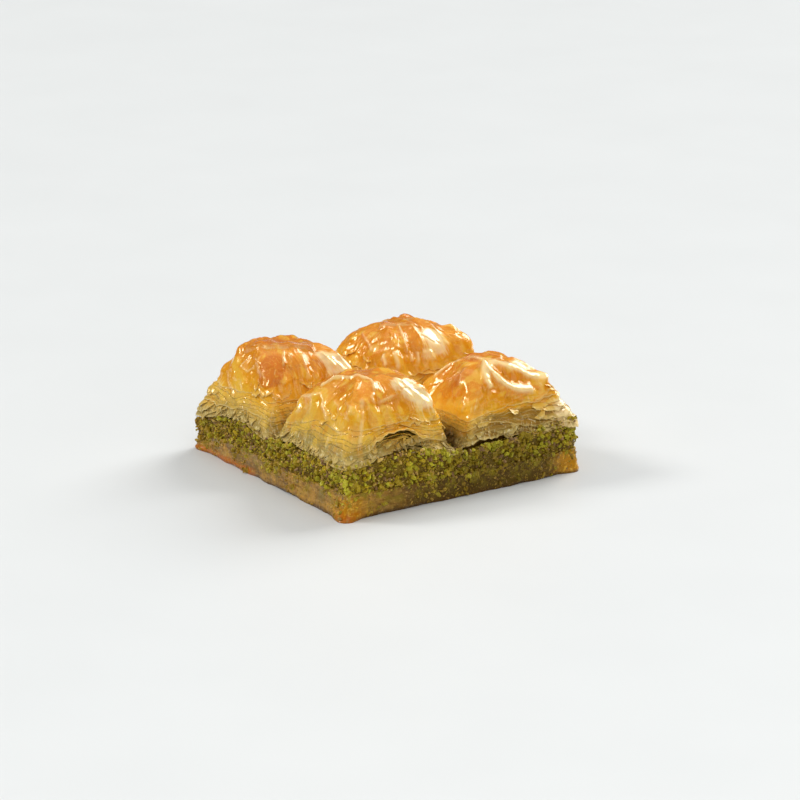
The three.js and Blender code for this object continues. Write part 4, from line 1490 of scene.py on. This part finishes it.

# %% [markdown]
# ## Where the sheets end
#
# Going down a mound, one bunch of sheets after another ends in a ragged edge and lets the next one
# out from under it. Three edges are given for each mound: an upper one, the lip over the
# open mouth, and the hem that rests on the nuts. Each is a list of directions, each with its share
# of the height and how far it stands open. Fainter edges are put between them by noise; where two
# come close they merge, as real sheets do.

# %% Edges of the sheets
EDGES = {
    "near": (
        [(-150, 0.46, 0.1), (-120, 0.5, 0.12), (-85, 0.52, 0.16), (-60, 0.44, 0.2),
         (0, 0.5, 0.3), (90, 0.45, 0.3), (142, 0.3, 0.15), (175, 0.42, 0.1)],
        [(-139, 0.14, 0.05), (-125, 0.16, 0.1), (-120, 0.2, 0.3), (-115, 0.31, 0.8),
         (-106, 0.375, 1.9), (-92, 0.395, 2.4), (-79, 0.37, 2.4), (-70, 0.31, 1.7),
         (-62, 0.24, 0.9), (-55, 0.16, 0.4), (0, 0.2, 0.3), (90, 0.22, 0.3),
         (142, 0.12, 0.05), (158, 0.16, 0.05), (177, 0.2, 0.05), (-159, 0.18, 0.05)],
        [(-135, 0.0, 0.05), (-122, 0.02, 0.05), (-114, 0.09, 0.1), (-95, 0.13, 0.25),
         (-75, 0.13, 0.25), (-62, 0.06, 0.3), (-46, 0.0, 0.3), (0, 0.02, 0.2), (90, 0.02, 0.2),
         (135, 0.03, 0.05), (155, 0.06, 0.05), (-165, 0.03, 0.05)],
    ),
    "right": (
        [(-141, 0.4, 0.15), (-120, 0.48, 0.12), (-90, 0.5, 0.15), (-60, 0.46, 0.25),
         (-40, 0.5, 0.5), (0, 0.5, 0.4), (90, 0.45, 0.3), (150, 0.35, 0.15)],
        [(-141, 0.25, 0.2), (-128, 0.33, 0.3), (-111, 0.3, 0.35), (-90, 0.2, 0.35),
         (-71, 0.13, 0.3), (-50, 0.12, 0.4), (-30, 0.18, 0.5), (0, 0.2, 0.4),
         (90, 0.22, 0.3), (160, 0.2, 0.3)],
        [(-142, 0.03, 0.15), (-136, 0.07, 0.2), (-128, 0.11, 0.4), (-111, 0.1, 0.6),
         (-98, 0.06, 0.4), (-80, 0.03, 0.05), (-45, 0.03, 0.05), (0, 0.02, 0.2), (90, 0.02, 0.2)],
    ),
    "left": (
        [(136, 0.5, 0.4), (150, 0.45, 0.2), (180, 0.42, 0.1), (-150, 0.5, 0.1),
         (-125, 0.45, 0.15), (-90, 0.45, 0.3), (0, 0.5, 0.3), (90, 0.5, 0.3)],
        [(120, 0.22, 0.4), (136, 0.27, 0.3), (149, 0.24, 0.2), (161, 0.21, 0.25),
         (176, 0.19, 0.25), (-166, 0.21, 0.3), (-150, 0.24, 0.3), (-139, 0.24, 0.2),
         (-131, 0.2, 0.2), (-110, 0.2, 0.3), (0, 0.2, 0.3), (90, 0.22, 0.3)],
        [(125, 0.04, 0.2), (136, 0.07, 0.5), (150, 0.07, 0.1), (180, 0.08, 0.05),
         (-162, 0.06, 0.05), (-150, 0.01, 0.05), (-135, 0.0, 0.1), (-90, 0.02, 0.2),
         (0, 0.02, 0.2), (90, 0.03, 0.2)],
    ),
    "far": (
        [(-150, 0.45, 0.2), (-90, 0.48, 0.3), (0, 0.5, 0.4), (90, 0.45, 0.3), (150, 0.5, 0.4)],
        [(-150, 0.22, 0.3), (-90, 0.25, 0.4), (0, 0.2, 0.4), (60, 0.3, 1.0), (120, 0.2, 0.4)],
        [(-135, 0.02, 0.2), (-45, 0.02, 0.2), (60, 0.1, 0.3), (135, 0.02, 0.2)],
    ),
}
# How flaky each side is: 0 where one unbroken sheet is draped down, 1 where every sheet shows.
FLAKY = {
    "near": [(-180, 0.05), (-132, 0.05), (-118, 0.5), (-100, 0.9), (-60, 1), (0, 0.8), (90, 0.8),
             (130, 0.3), (145, 0.05)],
    "right": [(-180, 0.1), (-142, 0.15), (-125, 0.6), (-100, 1), (-30, 1), (0, 0.8), (90, 0.8),
              (140, 0.3)],
    "left": [(-180, 0.18), (-140, 0.18), (-90, 0.3), (0, 0.8), (90, 0.8), (130, 0.6), (150, 0.3)],
    "far": [(-180, 0.3), (-90, 0.3), (0, 0.9), (90, 0.9)],
}
# How much browner each side is than its height alone would make it.
BROWNED = {
    "near": [(-180, -0.1), (-150, -0.08), (-125, 0), (-100, 0.1), (-60, 0.14), (0, 0.1),
             (90, 0.1), (165, -0.1)],
    "right": [(-180, 0.1), (-135, 0.06), (-110, 0.18), (-60, 0.3), (-35, 0.2), (0, 0.1), (90, 0.1)],
    "left": [(-180, 0), (-120, 0.05), (0, 0.1), (150, 0)],
    "far": [(-180, 0.05), (-110, 0), (-60, -0.08), (0, 0.1)],
}
# How far each side has soaked up syrup and nut oil and turned a dull brown: direction, strength,
# and the share of the height up to which it has risen.
SODDEN = {
    "near": [(-180, 0.4, 0.1), (-140, 0.4, 0.1), (-125, 0.1, 0.3), (-100, 0.3, 0.4), (-60, 0.35, 0.4),
             (90, 0.3, 0.4), (150, 0.4, 0.1)],
    "right": [(-180, 0.2, 0.4), (-140, 0.25, 0.4), (-120, 1.0, 0.45), (-60, 1.0, 0.4),
              (-45, 0.3, 0.4), (90, 0.4, 0.4)],
    "left": [(-180, 0.55, 0.16), (-140, 0.55, 0.16), (-100, 0.3, 0.2), (90, 0.3, 0.3),
             (150, 0.55, 0.16)],
    "far": [(-180, 0.2, 0.4), (0, 0.3, 0.4)],
}
FAINT_EDGES = (4, 3)  # between the upper edge and the lip, and between the lip and the hem
FAINT_LIP = 0.1
RAGGED = 0.55  # mm up and down


def around(values, angle, column):
    """A value from a table of directions, for any direction."""
    table = sorted(values)
    directions = np.radians([row[0] for row in table])
    return np.interp(angle, directions, [row[column] for row in table], period=2 * math.pi)


def sheet_edges(which, angle):
    """Fall and opening of every edge of a mound, from the uppermost to the hem."""
    bumps = Bumps(mound_seed(which) + 300)
    x, y = NOISE_RING * np.cos(angle), NOISE_RING * np.sin(angle)
    flaky = around(FLAKY[which], angle, 1)
    main = []
    for level, table in enumerate(EDGES[which]):
        wander = 0.9 * bumps(x, y, 40.0 * level, 7) * (1 if level < 2 else 0.4)
        fall = fall_at(around(table, angle, 1)) + wander
        opening = around(table, angle, 2) * (1 + 0.45 * bumps(x, y, 9.0 + 40.0 * level, 3.5))
        opening = opening * (ramp(flaky, 0, 0.3) if level < 2 else 1)
        main.append((fall, opening))
    edges = main[:1]
    for upper, lower, count in zip(main[:-1], main[1:], FAINT_EDGES):
        first = 300.0 + 17.0 * len(edges)
        gaps = [np.exp(1.1 * bumps(x, y, first + 7 * k, 9)) for k in range(count + 1)]
        shares = np.cumsum(gaps, axis=0) / np.sum(gaps, axis=0)
        for k in range(count):
            fall = upper[0] + (lower[0] - upper[0]) * shares[k]
            opening = np.clip(0.1 + 1.5 * bumps(x, y, 70.0 * k + 5.0 * len(edges), 5), 0, 1.3)
            edges.append((fall, FAINT_LIP * opening * ramp(flaky, 0.15, 0.8)))
        edges.append(lower)
    falls, openings = [], []
    for number, (fall, opening) in enumerate(edges):
        ragged = RAGGED * bumps(x, y, 13.0 * number, 1.9) + 0.25 * bumps(x, y, 13.0 * number, 0.9)
        falls.append(fall + ragged * (0.35 + 0.65 * np.clip(opening / 0.4, 0, 1)))
        openings.append(np.maximum(opening, 0))
    falls = np.maximum.accumulate(np.array(falls), axis=0)
    return np.minimum(falls, FALL), np.array(openings)


falls, openings = sheet_edges("near", np.radians(np.arange(-180.0, 180, 30)))
print(f"{len(falls)} edges on a mound, from {falls.min():.0f} to {falls.max():.0f} mm down the slope")

# %% [markdown]
# ## The body of a mound
#
# The body is one closed grid whose rings follow those edges. Above the uppermost edge the rings are
# evenly spaced. Under it each bunch of sheets has a few rings of its own: they swing out towards
# the lip, two rings make the cut edge of the sheet, and one more goes back up and in beneath it.
# That leaves a real overhang, which throws a real shadow.

# %% Shape of a mound's body
BODY_COLUMNS = 480
CROWN_ROWS = 66
BUNCH_ROWS = (0.25, 0.5, 0.75, 0.93, 1.0)  # shares of the way from one edge to the next
LIP_REACH = 1.7  # mm above an edge over which the sheets swing out
HOLLOW_REACH = (1.6, 5.0)  # mm over which a hollow runs out: under a small lip, under a mouth
MOUTH_REACH = 4.0  # mm below the lip over which an open mouth stays sunk
SHEET_THICKNESS = 0.13
TUCK = 0.35  # how far the hollow goes up behind a lip
CLEAR_EDGE = 0.2  # mm: an edge that stands out this far looks like an edge
UNDER_SHARES = (0.07, 0.3, 0.6, 0.9)  # shares of the way in underneath, to the mound's middle


def body_rows(which, angle):
    """Fall and outward offset of each ring, and how far it is a lip, a gap with painted shade and a
    mouth.
    """
    falls, openings = sheet_edges(which, angle)
    none = 0 * angle
    rows = []
    for share in np.linspace(0.02, 1, CROWN_ROWS)[:-1]:
        swing = openings[0] * np.exp(-(1 - share) * falls[0] / LIP_REACH)
        rows.append((share * falls[0], swing, none, none, none))
    clear = np.clip(openings / CLEAR_EDGE, 0, 1) ** 0.5
    rows.append((falls[0], openings[0], clear[0], none, none))
    open_mouth, mouth_fall, sunk = none, none, none
    for upper in range(len(falls)):
        opening = openings[upper]
        mouth = ramp(opening, 0.6, 1.2)
        shaded = np.clip(opening / 0.3, 0, 1)
        rows.append((falls[upper] + SHEET_THICKNESS, 0.9 * opening, clear[upper], none, none))
        tuck = TUCK * opening * (0.4 + 0.6 * mouth)
        rows.append((falls[upper] - tuck, -opening * (1 + 0.4 * mouth), none, shaded, mouth))
        if upper + 1 == len(falls):
            break
        sunk = np.where(mouth > 0.01, mouth * opening * 1.4, sunk)
        mouth_fall = np.where(mouth > 0.01, falls[upper], mouth_fall)
        open_mouth = np.where(mouth > 0.01, mouth, open_mouth)
        gap = falls[upper + 1] - falls[upper]
        run_out = HOLLOW_REACH[0] + (HOLLOW_REACH[1] - HOLLOW_REACH[0]) * mouth
        for share in BUNCH_ROWS:
            below = share * gap
            to_lip = (1 - share) * gap
            swing = openings[upper + 1] * np.exp(-to_lip / LIP_REACH)
            hollow = opening * (1 - mouth)
            swing = swing - hollow * np.exp(-below / run_out) * (share < 1)
            past_mouth = falls[upper] + below - mouth_fall
            swing = swing - sunk * fade(past_mouth, MOUTH_REACH, 1.5)
            lip = (share > 0.9) * np.exp(-to_lip / 0.4) * clear[upper + 1]
            shade = shaded * np.exp(-below / (0.6 + 1.2 * opening))
            in_mouth = open_mouth * np.exp(-past_mouth / 5)
            rows.append((falls[upper] + below, swing, lip, shade, in_mouth))
    return [np.array(column) for column in zip(*rows)]


print("rings on a mound's body:", len(body_rows("near", np.zeros(1))[0]))

# %% Its rings, with the facts that the finish needs
def slope_place(angle, fall):
    """A place on the noise ring and down the slope, in metres: sheets and strings follow it."""
    ring = [NOISE_RING * np.cos(angle) * MM, NOISE_RING * np.sin(angle) * MM]
    return np.stack([*ring, fall * MM + 0 * angle], -1)


def body_rings(which):
    """The mound's rings, with the facts that its finish needs."""
    bumps = Bumps(mound_seed(which) + 600)
    angle = np.linspace(-math.pi, math.pi, BODY_COLUMNS, endpoint=False)
    fall, out, lip, shade, mouth = body_rows(which, angle)
    angle = angle[None, :] + 0 * fall
    height = height_at(np.clip(fall, 0, FALL))
    point = mound_point(which, angle, height)
    normal = mound_normal(which, angle, height)
    relief, ridge, on_cap, cover = all_relief(which, angle, fall, point)
    rings = point + normal * (relief + out)[..., None]
    x, y, z = np.moveaxis(point, -1, 0)
    droop = lip * (-0.1 + 0.1 * bumps(x, y, z, 2.3))
    past_skirt = np.clip(fall - FALL, 0, 1)
    rings[..., 2] += droop - past_skirt
    flaky = around(FLAKY[which], angle, 1)
    draw = np.random.default_rng(mound_seed(which))
    past = (fall[:, None, :] > sheet_edges(which, angle[0])[0][None]).sum(1)
    tones = draw.uniform(-0.07, 0.07, past.max() + 1)
    tone = tones[past] * flaky + 0.16 * (cover - 0.45) + around(BROWNED[which], angle, 1)
    wide, narrow = facets(which, x, y, z)
    risen = around(SODDEN[which], angle, 2)
    sodden = around(SODDEN[which], angle, 1) * ramp(height, risen + 0.1, risen - 0.1)
    raised = 0.6 * wide + 0.4 * narrow
    facts = {"height": height, "edge": lip, "gap": shade, "mouth": mouth, "ridge": ridge,
             "flaky": flaky, "cover": cover, "cap": on_cap, "tone": tone, "sodden": sodden,
             "raised": raised, "slope": slope_place(angle, fall)}
    return rings, facts


def close_underneath(which, rings, facts):
    """Adds rings that run in under the mound, where it lies on the nuts."""
    under = []
    for share in UNDER_SHARES:
        ring = rings[-1] + share * (middle_of(which) - rings[-1])
        ring[:, 2] = filling_top(ring[:, 0], ring[:, 1]) - 0.1
        under.append(ring)
    rings = np.concatenate([rings, np.array(under)])
    added = len(UNDER_SHARES)
    facts = {name: np.concatenate([v, np.repeat(v[-1:], added, 0)]) for name, v in facts.items()}
    return rings, facts


# %% [markdown]
# ## The golden finish
#
# Baked filo is pale cream inside and browns where the oven reached it. So the colour climbs with
# the height: grey-green cream at the skirt, where the sheets have drunk nut oil, straw, golden
# yellow, and amber on the crown. Noise shifts those zones up and down, because no mound browns
# evenly. A few deep amber stains sit where a blister stood high, and film that came loose dried
# pale; on that film and on the broad ridges a painted highlight makes it paler still, near white.
# Painted shade browns the hollows under the lips, darkens an open mouth just under its lip, and
# darkens the narrow cuts between mounds; lips are pale, since light shines through a single sheet.
# Low down the sheets are sodden and brown, or hazy with pale fibres. Syrup is the coat: a thin,
# sharp, clear gloss over a softer surface, and it is the coat that makes it look wet.

# %% Where the stains lie
# Each spot's place, its reach in mm and its strength: first where the skin baked to deep amber.
STAINS = {
    "near": [(-11, -3, 37, 5.0, 0.9), (-3, -14, 34, 5.0, 0.7), (1, 2, 39, 8.0, 0.8),
             (-15, 10, 31, 4, 0.6)],
    "right": [(-13, -4, 32, 9.0, 0.9), (-2, 2, 37, 6.0, 0.9), (5, -13, 32, 5.0, 0.8),
              (0, 10, 35, 7, 0.6)],
    "left": [(-12.3, -9.2, 34.6, 5.0, 1.6), (-15.0, -12, 31, 4.2, 1.3), (3, -13, 34, 6.0, 0.7),
             (-4, 3, 38, 9.0, 1.0), (8, 8, 36, 7, 0.6)],
    "far": [(-14, -6, 33, 5.0, 0.7), (-6, 0, 38, 6.0, 0.9), (-6, -13, 33, 4.5, 0.8),
            (8, 4, 37, 7, 0.6)],
}
# Where the top sheet came loose and dried to a pale film, and where a highlight is painted on as pale
# colour.
PALE_AND_HIGHLIGHT = {
    "near": [(7.6, -13.9, 35.9, 4.5, 1.2), (12.5, -15.8, 32, 4.0, 1.1), (3.5, -12, 38, 3.0, 0.9),
             (-17.5, -10, 27, 5.0, 0.5)],
    "right": [(-3.5, -6.5, 36, 3.0, 0.9), (-14, -17, 25, 4.0, 0.6), (15, -13.5, 29.5, 2.5, 0.6),
              (12, -9, 34, 3.0, 0.9), (9, -6.5, 35.6, 3.0, 0.8), (5.0, -8.5, 36.4, 2.4, 0.8),
              (22, -21.7, 14.5, 3.5, 1.3), (19.6, -18.9, 20.5, 5.5, 1.8),
              (21, -20, 17.5, 4.0, 1.4)],
    "left": [(10.1, -15.1, 32.4, 4.4, 1.3), (6, -11, 35.9, 3.8, 1.2), (-18, 14, 26, 5, 0.6)],
    "far": [(2.9, -11.6, 35.6, 4.6, 1.5), (4.1, -15, 31, 3.0, 0.8), (-12, -4, 35, 4, 0.4),
            (-2, -15.5, 30, 3.0, 0.7)],
}
# Painted shade: where the cut between two mounds is so narrow that it is dark, it is painted dark
# brown; a few weak spots only darken a slope's colour.
SHADE_AND_DARK_TONE = {
    "near": [(20, -18, 18, 4.0, 0.6)],
    "right": [(-21.3, -9.5, 16.2, 4.0, 1.0), (-21.5, -4.0, 16.0, 4.0, 0.8),
              (-21.7, -13, 15.2, 2.6, 0.9), (-14, -6, 30, 8.0, 0.16)],
    "left": [(-5, -21, 16, 5.0, 0.7), (-12, -21.5, 16, 5.0, 0.6)],
    "far": [(-20, -20, 17, 8.0, 0.8), (-17, -6, 26, 7.0, 0.25)],
}
SPOTS = {"stain": STAINS, "pale": PALE_AND_HIGHLIGHT, "deep": SHADE_AND_DARK_TONE}


def spot_facts(which, points):
    """How strong the spots of each table are at each point."""
    local = points - middle_of(which)
    return {fact: np.clip(spot_sum(local, table[which]), 0, 1) for fact, table in SPOTS.items()}


print("spots:", {fact: sum(map(len, table.values())) for fact, table in SPOTS.items()})

# %% Finish of the baked filo
def golden_filo_finish(name, glow, sheen):
    """The finish of baked filo: glow is its subsurface share, sheen the share of its gloss."""
    material, shader, start = new_finish(
        name,
        IOR=1.45,
        Specular_IOR_Level=0.7,
        Specular_Tint=(1.0, 0.8, 0.38, 1.0),
        Subsurface_Weight=glow,
        Subsurface_Scale=1.0,
        Subsurface_Radius=(1.0 * MM, 0.6 * MM, 0.2 * MM),
        Coat_Roughness=0.08,
        Coat_IOR=1.46,
    )
    height = stored(start, "height")
    cover = stored(start, "cover")
    slope = stored(start, "slope", "Vector")
    broad = noise(start, 10, 3, 0.55)
    patch = noise(start, 5.0, 3, 0.55, shift=0.9)
    fine = noise(start, 1.1, 3, 0.6, shift=1.7)
    film = noise(start, 2.6, 3, 0.55, shift=2.2)
    strings = noise(start, 0.9, 3, 0.6, stretch=(1, 1, 0.16), on=slope)
    sheets = noise(start, 0.75, 3, 0.6, stretch=(0.16, 0.16, 1), shift=0.4, on=slope)
    raised = stored(start, "raised") + (patch - 0.5) * 1.2
    ridge = stored(start, "ridge")
    mouth = stored(start, "mouth")
    pale = stored(start, "pale")
    stain = stored(start, "stain")

    level = height + (broad - 0.5) * 0.35 + (patch - 0.5) * 0.3 + stored(start, "tone")
    amber = step(stain + (patch - 0.5) * 0.9, 0.3, 0.8)
    baked = step(stain, 0.7, 1.0)
    airy = step(raised + (fine - 0.5) * 0.3, 0.12, 0.42)
    sunk = step(raised, -0.05, -0.45)
    loose_film_and_highlight = step(pale + (strings - 0.5) * 2.2 + raised * 0.6, 0.45, 1.1)
    white_film_and_highlight = step(pale * (patch + 0.5), 0.62, 0.95)
    pinched = step(abs(film - 0.5), 0.025, 0.0)
    stringy = step(strings, 0.56, 0.68)
    dusty = step(height + (fine - 0.5) * 0.3 + (patch - 0.5) * 0.3, 0.26, 0.06)
    soaked = stored(start, "sodden") + (patch - 0.5) * 0.5 + (fine - 0.5) * 0.4
    sodden = step(soaked, 0.3, 0.8)
    layered = (1 - step(height, 0.45, 0.75)) * stored(start, "flaky")
    dark_lines = step(sheets, 0.5, 0.6) * layered
    pale_lines = step(1 - sheets, 0.56, 0.66) * layered
    pale_ridge_and_highlight = ridge * step(strings * 0.6 + patch * 1.2 + ridge * 0.3, 0.75, 1.05)
    hazy = step(height + (patch - 0.5) * 0.4, 0.36, 0.14) * (1 - loose_film_and_highlight * 0.8)
    fibres = noise(start, 0.7, 3, 0.65, stretch=(1, 1, 0.22), shift=7.7)
    fuzz = step(fibres, 0.54, 0.68) * hazy
    damp = step(noise(start, 2.2, 3, 0.6, shift=9.3), 0.52, 0.66) * hazy

    zones = [
        (0.02, rgb(156, 128, 54)),
        (0.16, rgb(190, 152, 60)),
        (0.34, rgb(230, 182, 72)),
        (0.5, rgb(235, 171, 36)),
        (0.72, rgb(230, 151, 12)),
        (0.95, rgb(226, 137, 2)),
    ]
    layers = [
        (amber * (0.4 + cover * 0.4), rgb(222, 132, 2)),
        (stored(start, "cap") * 0.7, rgb(213, 120, 2)),
        (airy * (0.55 - baked * 0.45), rgb(243, 195, 64)),
        (sunk * 0.45, rgb(220, 140, 5)),
        (baked * 0.85, rgb(204, 106, 1)),
        # pale film, partly painted highlight; the whitest part is painted highlight
        (loose_film_and_highlight * 0.8, rgb(254, 220, 150)),
        (white_film_and_highlight * 0.6, rgb(255, 228, 178)),
        (pinched * 0.35, rgb(252, 204, 80)),
        (stringy * 0.15, rgb(244, 196, 80)),
        (dusty * (1 - loose_film_and_highlight) * 0.5, rgb(184, 166, 100)),
        (sodden * (0.85 - loose_film_and_highlight * 0.8), rgb(130, 92, 22)),
        (dark_lines * 0.4, rgb(178, 122, 24)),
        (pale_lines * 0.5 * (1 - sodden * 0.5), rgb(236, 202, 116)),
        (stored(start, "edge") * 0.6, rgb(238, 210, 134)),
        # ridges painted pale: pale sheet and painted highlight
        (pale_ridge_and_highlight * 0.85, rgb(254, 222, 156)),
        # painted shade in the hollow under each lip
        (stored(start, "gap") * 0.4, rgb(190, 132, 36)),
        (fuzz * 0.7, rgb(236, 222, 172)),
        (damp * 0.5, rgb(136, 112, 44)),
        (mouth * 0.85, rgb(182, 168, 98)),
        # painted shade: the mouth dark olive just under its lip
        (step(mouth, 0.4, 0.62) * 0.85, rgb(124, 98, 16)),
        # painted shade in the narrow cuts, and a darker tone on a few slopes
        (stored(start, "deep") * 0.9, rgb(88, 58, 12)),
    ]
    by_height = start.node("ValToRGB", {"stops": zones}, {"Fac": level})
    colour = painted(by_height, layers)
    low = 1 - step(height, 0.05, 0.45)
    glaze = (1 - low * 0.75) * (0.45 - baked * 0.25) * sheen + loose_film_and_highlight * 0.4 + pale_ridge_and_highlight * 0.3
    rough = 0.13 + low * 0.35 + fine * 0.1
    drawn = bump(strings, 0.08, 0.8)
    piled = bump(sheets * layered, 0.14, 0.9, under=drawn)
    pucker = bump(noise(start, 0.5, 3, 0.6, shift=4.2), 0.03, 0.8, under=piled)
    connect(shader, Base_Color=colour, Roughness=rough, Coat_Weight=glaze, Normal=pucker)
    return material


golden_filo = golden_filo_finish("golden_filo", 0.2, 1.0)
for which in MOUNDS:
    rings, facts = close_underneath(which, *body_rings(which))
    facts.update(spot_facts(which, rings))
    body = ring_stack(f"mound_{which}", rings, golden_filo, facts)
    place(body, MOUNDS[which]["node"], "golden_filo")

# %% [markdown]
# ## Loose flakes
#
# Where the knife went and where the sheets dried, flakes stand off the mound: short ones that curl
# up on the flanks, and pale wisps that hang over the nuts. Each is a thin closed sheet with a root
# that is tucked in and a free edge. It follows the wrinkles of the skin under it and lifts off more
# and more towards its free edge.

# %% One flake
FLAKE_THICKNESS = 0.1
ROOT_DEPTH = 0.15  # mm by which a flake's root is tucked in
HANG = 0.9  # how much a flake that reaches past the skirt hangs down


def one_flake(which, direction, fall, width, length, lift, draw, grid):
    """Outer and inner grid of a flake whose root's middle is at a direction and a fall."""
    bumps = Bumps(int(draw.integers(1 << 30)))
    down = np.linspace(0, 1, grid[0])[:, None]
    across = np.linspace(-1, 1, grid[1])[None, :]
    ragged = 1 + 0.35 * bumps(3 * across, 0.0, 0.5, 1.0) + 0.2 * bumps(8 * across, 0.0, 4.5, 1.0)
    ragged = ragged * (1 - 0.45 * across**2)
    narrowing = 1 - 0.3 * down**2
    lean = draw.normal(0, 0.35) * length * down
    angle = direction + (0.5 * width * across * narrowing + lean) / NOISE_RING
    slant = draw.normal(0, 0.12) * width * across
    walked = fall + slant + length * down * ragged
    height = height_at(np.clip(walked, 0, FALL))
    point, normal = mound_point(which, angle, height), mound_normal(which, angle, height)
    relief = all_relief(which, angle, walked, point)[0]
    wave = 1 + 0.5 * bumps(2.2 * across, 3 * down, 9.5, 1.0)
    out = relief + 0.12 * ramp(down, 0, 0.3) - ROOT_DEPTH * (1 - down)
    out = out + lift * down**1.7 * wave
    middle = point + normal * out[..., None]
    middle[..., 2] -= np.maximum(walked - FALL, 0) * HANG
    outer = middle + normal * FLAKE_THICKNESS / 2
    inner = middle - normal * FLAKE_THICKNESS / 2
    return outer, inner, down + 0 * across, walked, angle


def flake_piece(which, name, flakes, seed, tone, grid, finish):
    """One mesh of all the given flakes (direction, fall, width, length, lift)."""
    draw = np.random.default_rng(seed)
    points, quads, downs, falls, slopes, tones = [], [], [], [], [], []
    count = 0
    for flake in flakes:
        outer, inner, down, walked, angle = one_flake(which, *flake, draw, grid)
        part, faces = sheet_parts(outer, inner, count)
        points.append(part)
        quads.append(faces)
        downs += [down.ravel()] * 2
        falls += [walked.ravel()] * 2
        slopes += [slope_place(angle, walked).reshape(-1, 3)] * 2
        tones.append(np.full(len(part), tone + draw.normal(0, 0.07)))
        count += len(part)
    points, quads = np.concatenate(points), np.concatenate(quads)
    down, fall = np.concatenate(downs), np.concatenate(falls)
    facts = {fact: 0 * down for fact in ("gap", "mouth", "ridge", "cap", "raised", "sodden")}
    facts["height"] = height_at(np.clip(fall, 0, FALL))
    facts["edge"] = down**3
    facts["flaky"] = facts["cover"] = 0.5 + 0 * down
    facts["tone"] = np.concatenate(tones)
    facts["slope"] = np.concatenate(slopes)
    facts.update(spot_facts(which, points))
    piece = make_object(name, points, quads, [], finish, facts)
    place(piece, MOUNDS[which]["node"], "golden_filo")


print(f"a flake is {FLAKE_THICKNESS} mm thick, a sheet of the body {SHEET_THICKNESS} mm")

# %% [markdown]
# Most flakes are drawn by rule, more of them on the flaky sides, and a few that catch the eye are
# listed. The wisps and the hair-thin fibres keep to the hem, where the sheets broke off.

# %% Flakes, wisps and fibres
FLAKES_PER_MOUND = 34
FLAKE_GRID = (7, 13)  # points down and across a flake
# Direction in degrees, fall, width, length and lift.
BY_HAND = {
    "right": [(-40, 20.5, 9, 2.6, 0.3), (-46, 23.5, 8, 2.4, 0.3), (-41, 26.5, 9, 2.4, 0.5),
              (-47, 29.5, 8, 2.6, 0.6), (-41, 31.5, 7, 2.6, 0.6), (-45, 32.5, 8, 2.6, 0.5),
              (-45, 33.6, 5, 3.4, 0.3), (-40, 33.8, 4, 3.0, 0.25), (-51, 33.6, 5, 2.8, 0.25),
              (-52, 27.5, 8, 2.2, 0.5), (-60, 30.0, 9, 2.2, 0.5), (-34, 24.0, 8, 2.4, 0.4)],
    "left": [(138, 26.0, 8, 2.2, 0.3), (132, 30.0, 8, 2.4, 0.5), (143, 31.0, 8, 2.6, 0.5)],
}
# How many, the ranges of width, length, share of it above the hem and lift, the tone and the grid.
AT_HEM = {
    "wisps": (90, (0.8, 4.5), (0.7, 2.4), (0.6, 1.1), (0.05, 0.5), -0.05, (4, 5)),
    "fibres": (70, (0.15, 0.6), (1.2, 3.6), (0.5, 0.95), (0.0, 0.2), 0.1, (6, 3)),
}
HEM_TURNS = np.linspace(-math.pi, math.pi, 361)


def random_flakes(draw, which):
    """The flakes of a mound: first those listed, then enough others."""
    flakes = [(math.radians(turn), *rest) for turn, *rest in BY_HAND.get(which, [])]
    while len(flakes) < FLAKES_PER_MOUND:
        direction = draw.uniform(-math.pi, math.pi)
        fall = draw.uniform(0.55, 0.93) * FALL
        if draw.random() > 0.05 + 0.95 * around(FLAKY[which], np.array(direction), 1):
            continue
        width, length = draw.uniform(3.0, 9.0), draw.uniform(1.2, 2.8)
        flakes.append((direction, fall, width, length, draw.uniform(0.1, 0.55)))
    return flakes


def hem_flakes(draw, hem, count, widths, lengths, above, lifts):
    """Flakes whose roots are tucked in above the hem."""
    flakes = []
    for _ in range(count):
        direction = draw.uniform(-math.pi, math.pi)
        width, length = draw.uniform(*widths), draw.uniform(*lengths)
        at_hem = np.interp(direction, HEM_TURNS, hem)
        fall = at_hem - length * draw.uniform(*above) - draw.exponential(0.8)
        flakes.append((direction, fall, width, length, draw.uniform(*lifts)))
    return flakes


flake_filo = golden_filo_finish("flake_filo", 0.0, 0.7)
for which in MOUNDS:
    draw = np.random.default_rng(mound_seed(which) + 1200)
    flakes = random_flakes(draw, which)
    seed = mound_seed(which) + 1300
    flake_piece(which, f"flakes_{which}", flakes, seed, 0.0, FLAKE_GRID, flake_filo)
    hem = sheet_edges(which, HEM_TURNS)[0][-1]
    for name, (count, widths, lengths, above, lifts, tone, grid) in AT_HEM.items():
        seed += 100
        flakes = hem_flakes(draw, hem, count, widths, lengths, above, lifts)
        flake_piece(which, f"{name}_{which}", flakes, seed, tone, grid, flake_filo)

# %% [markdown]
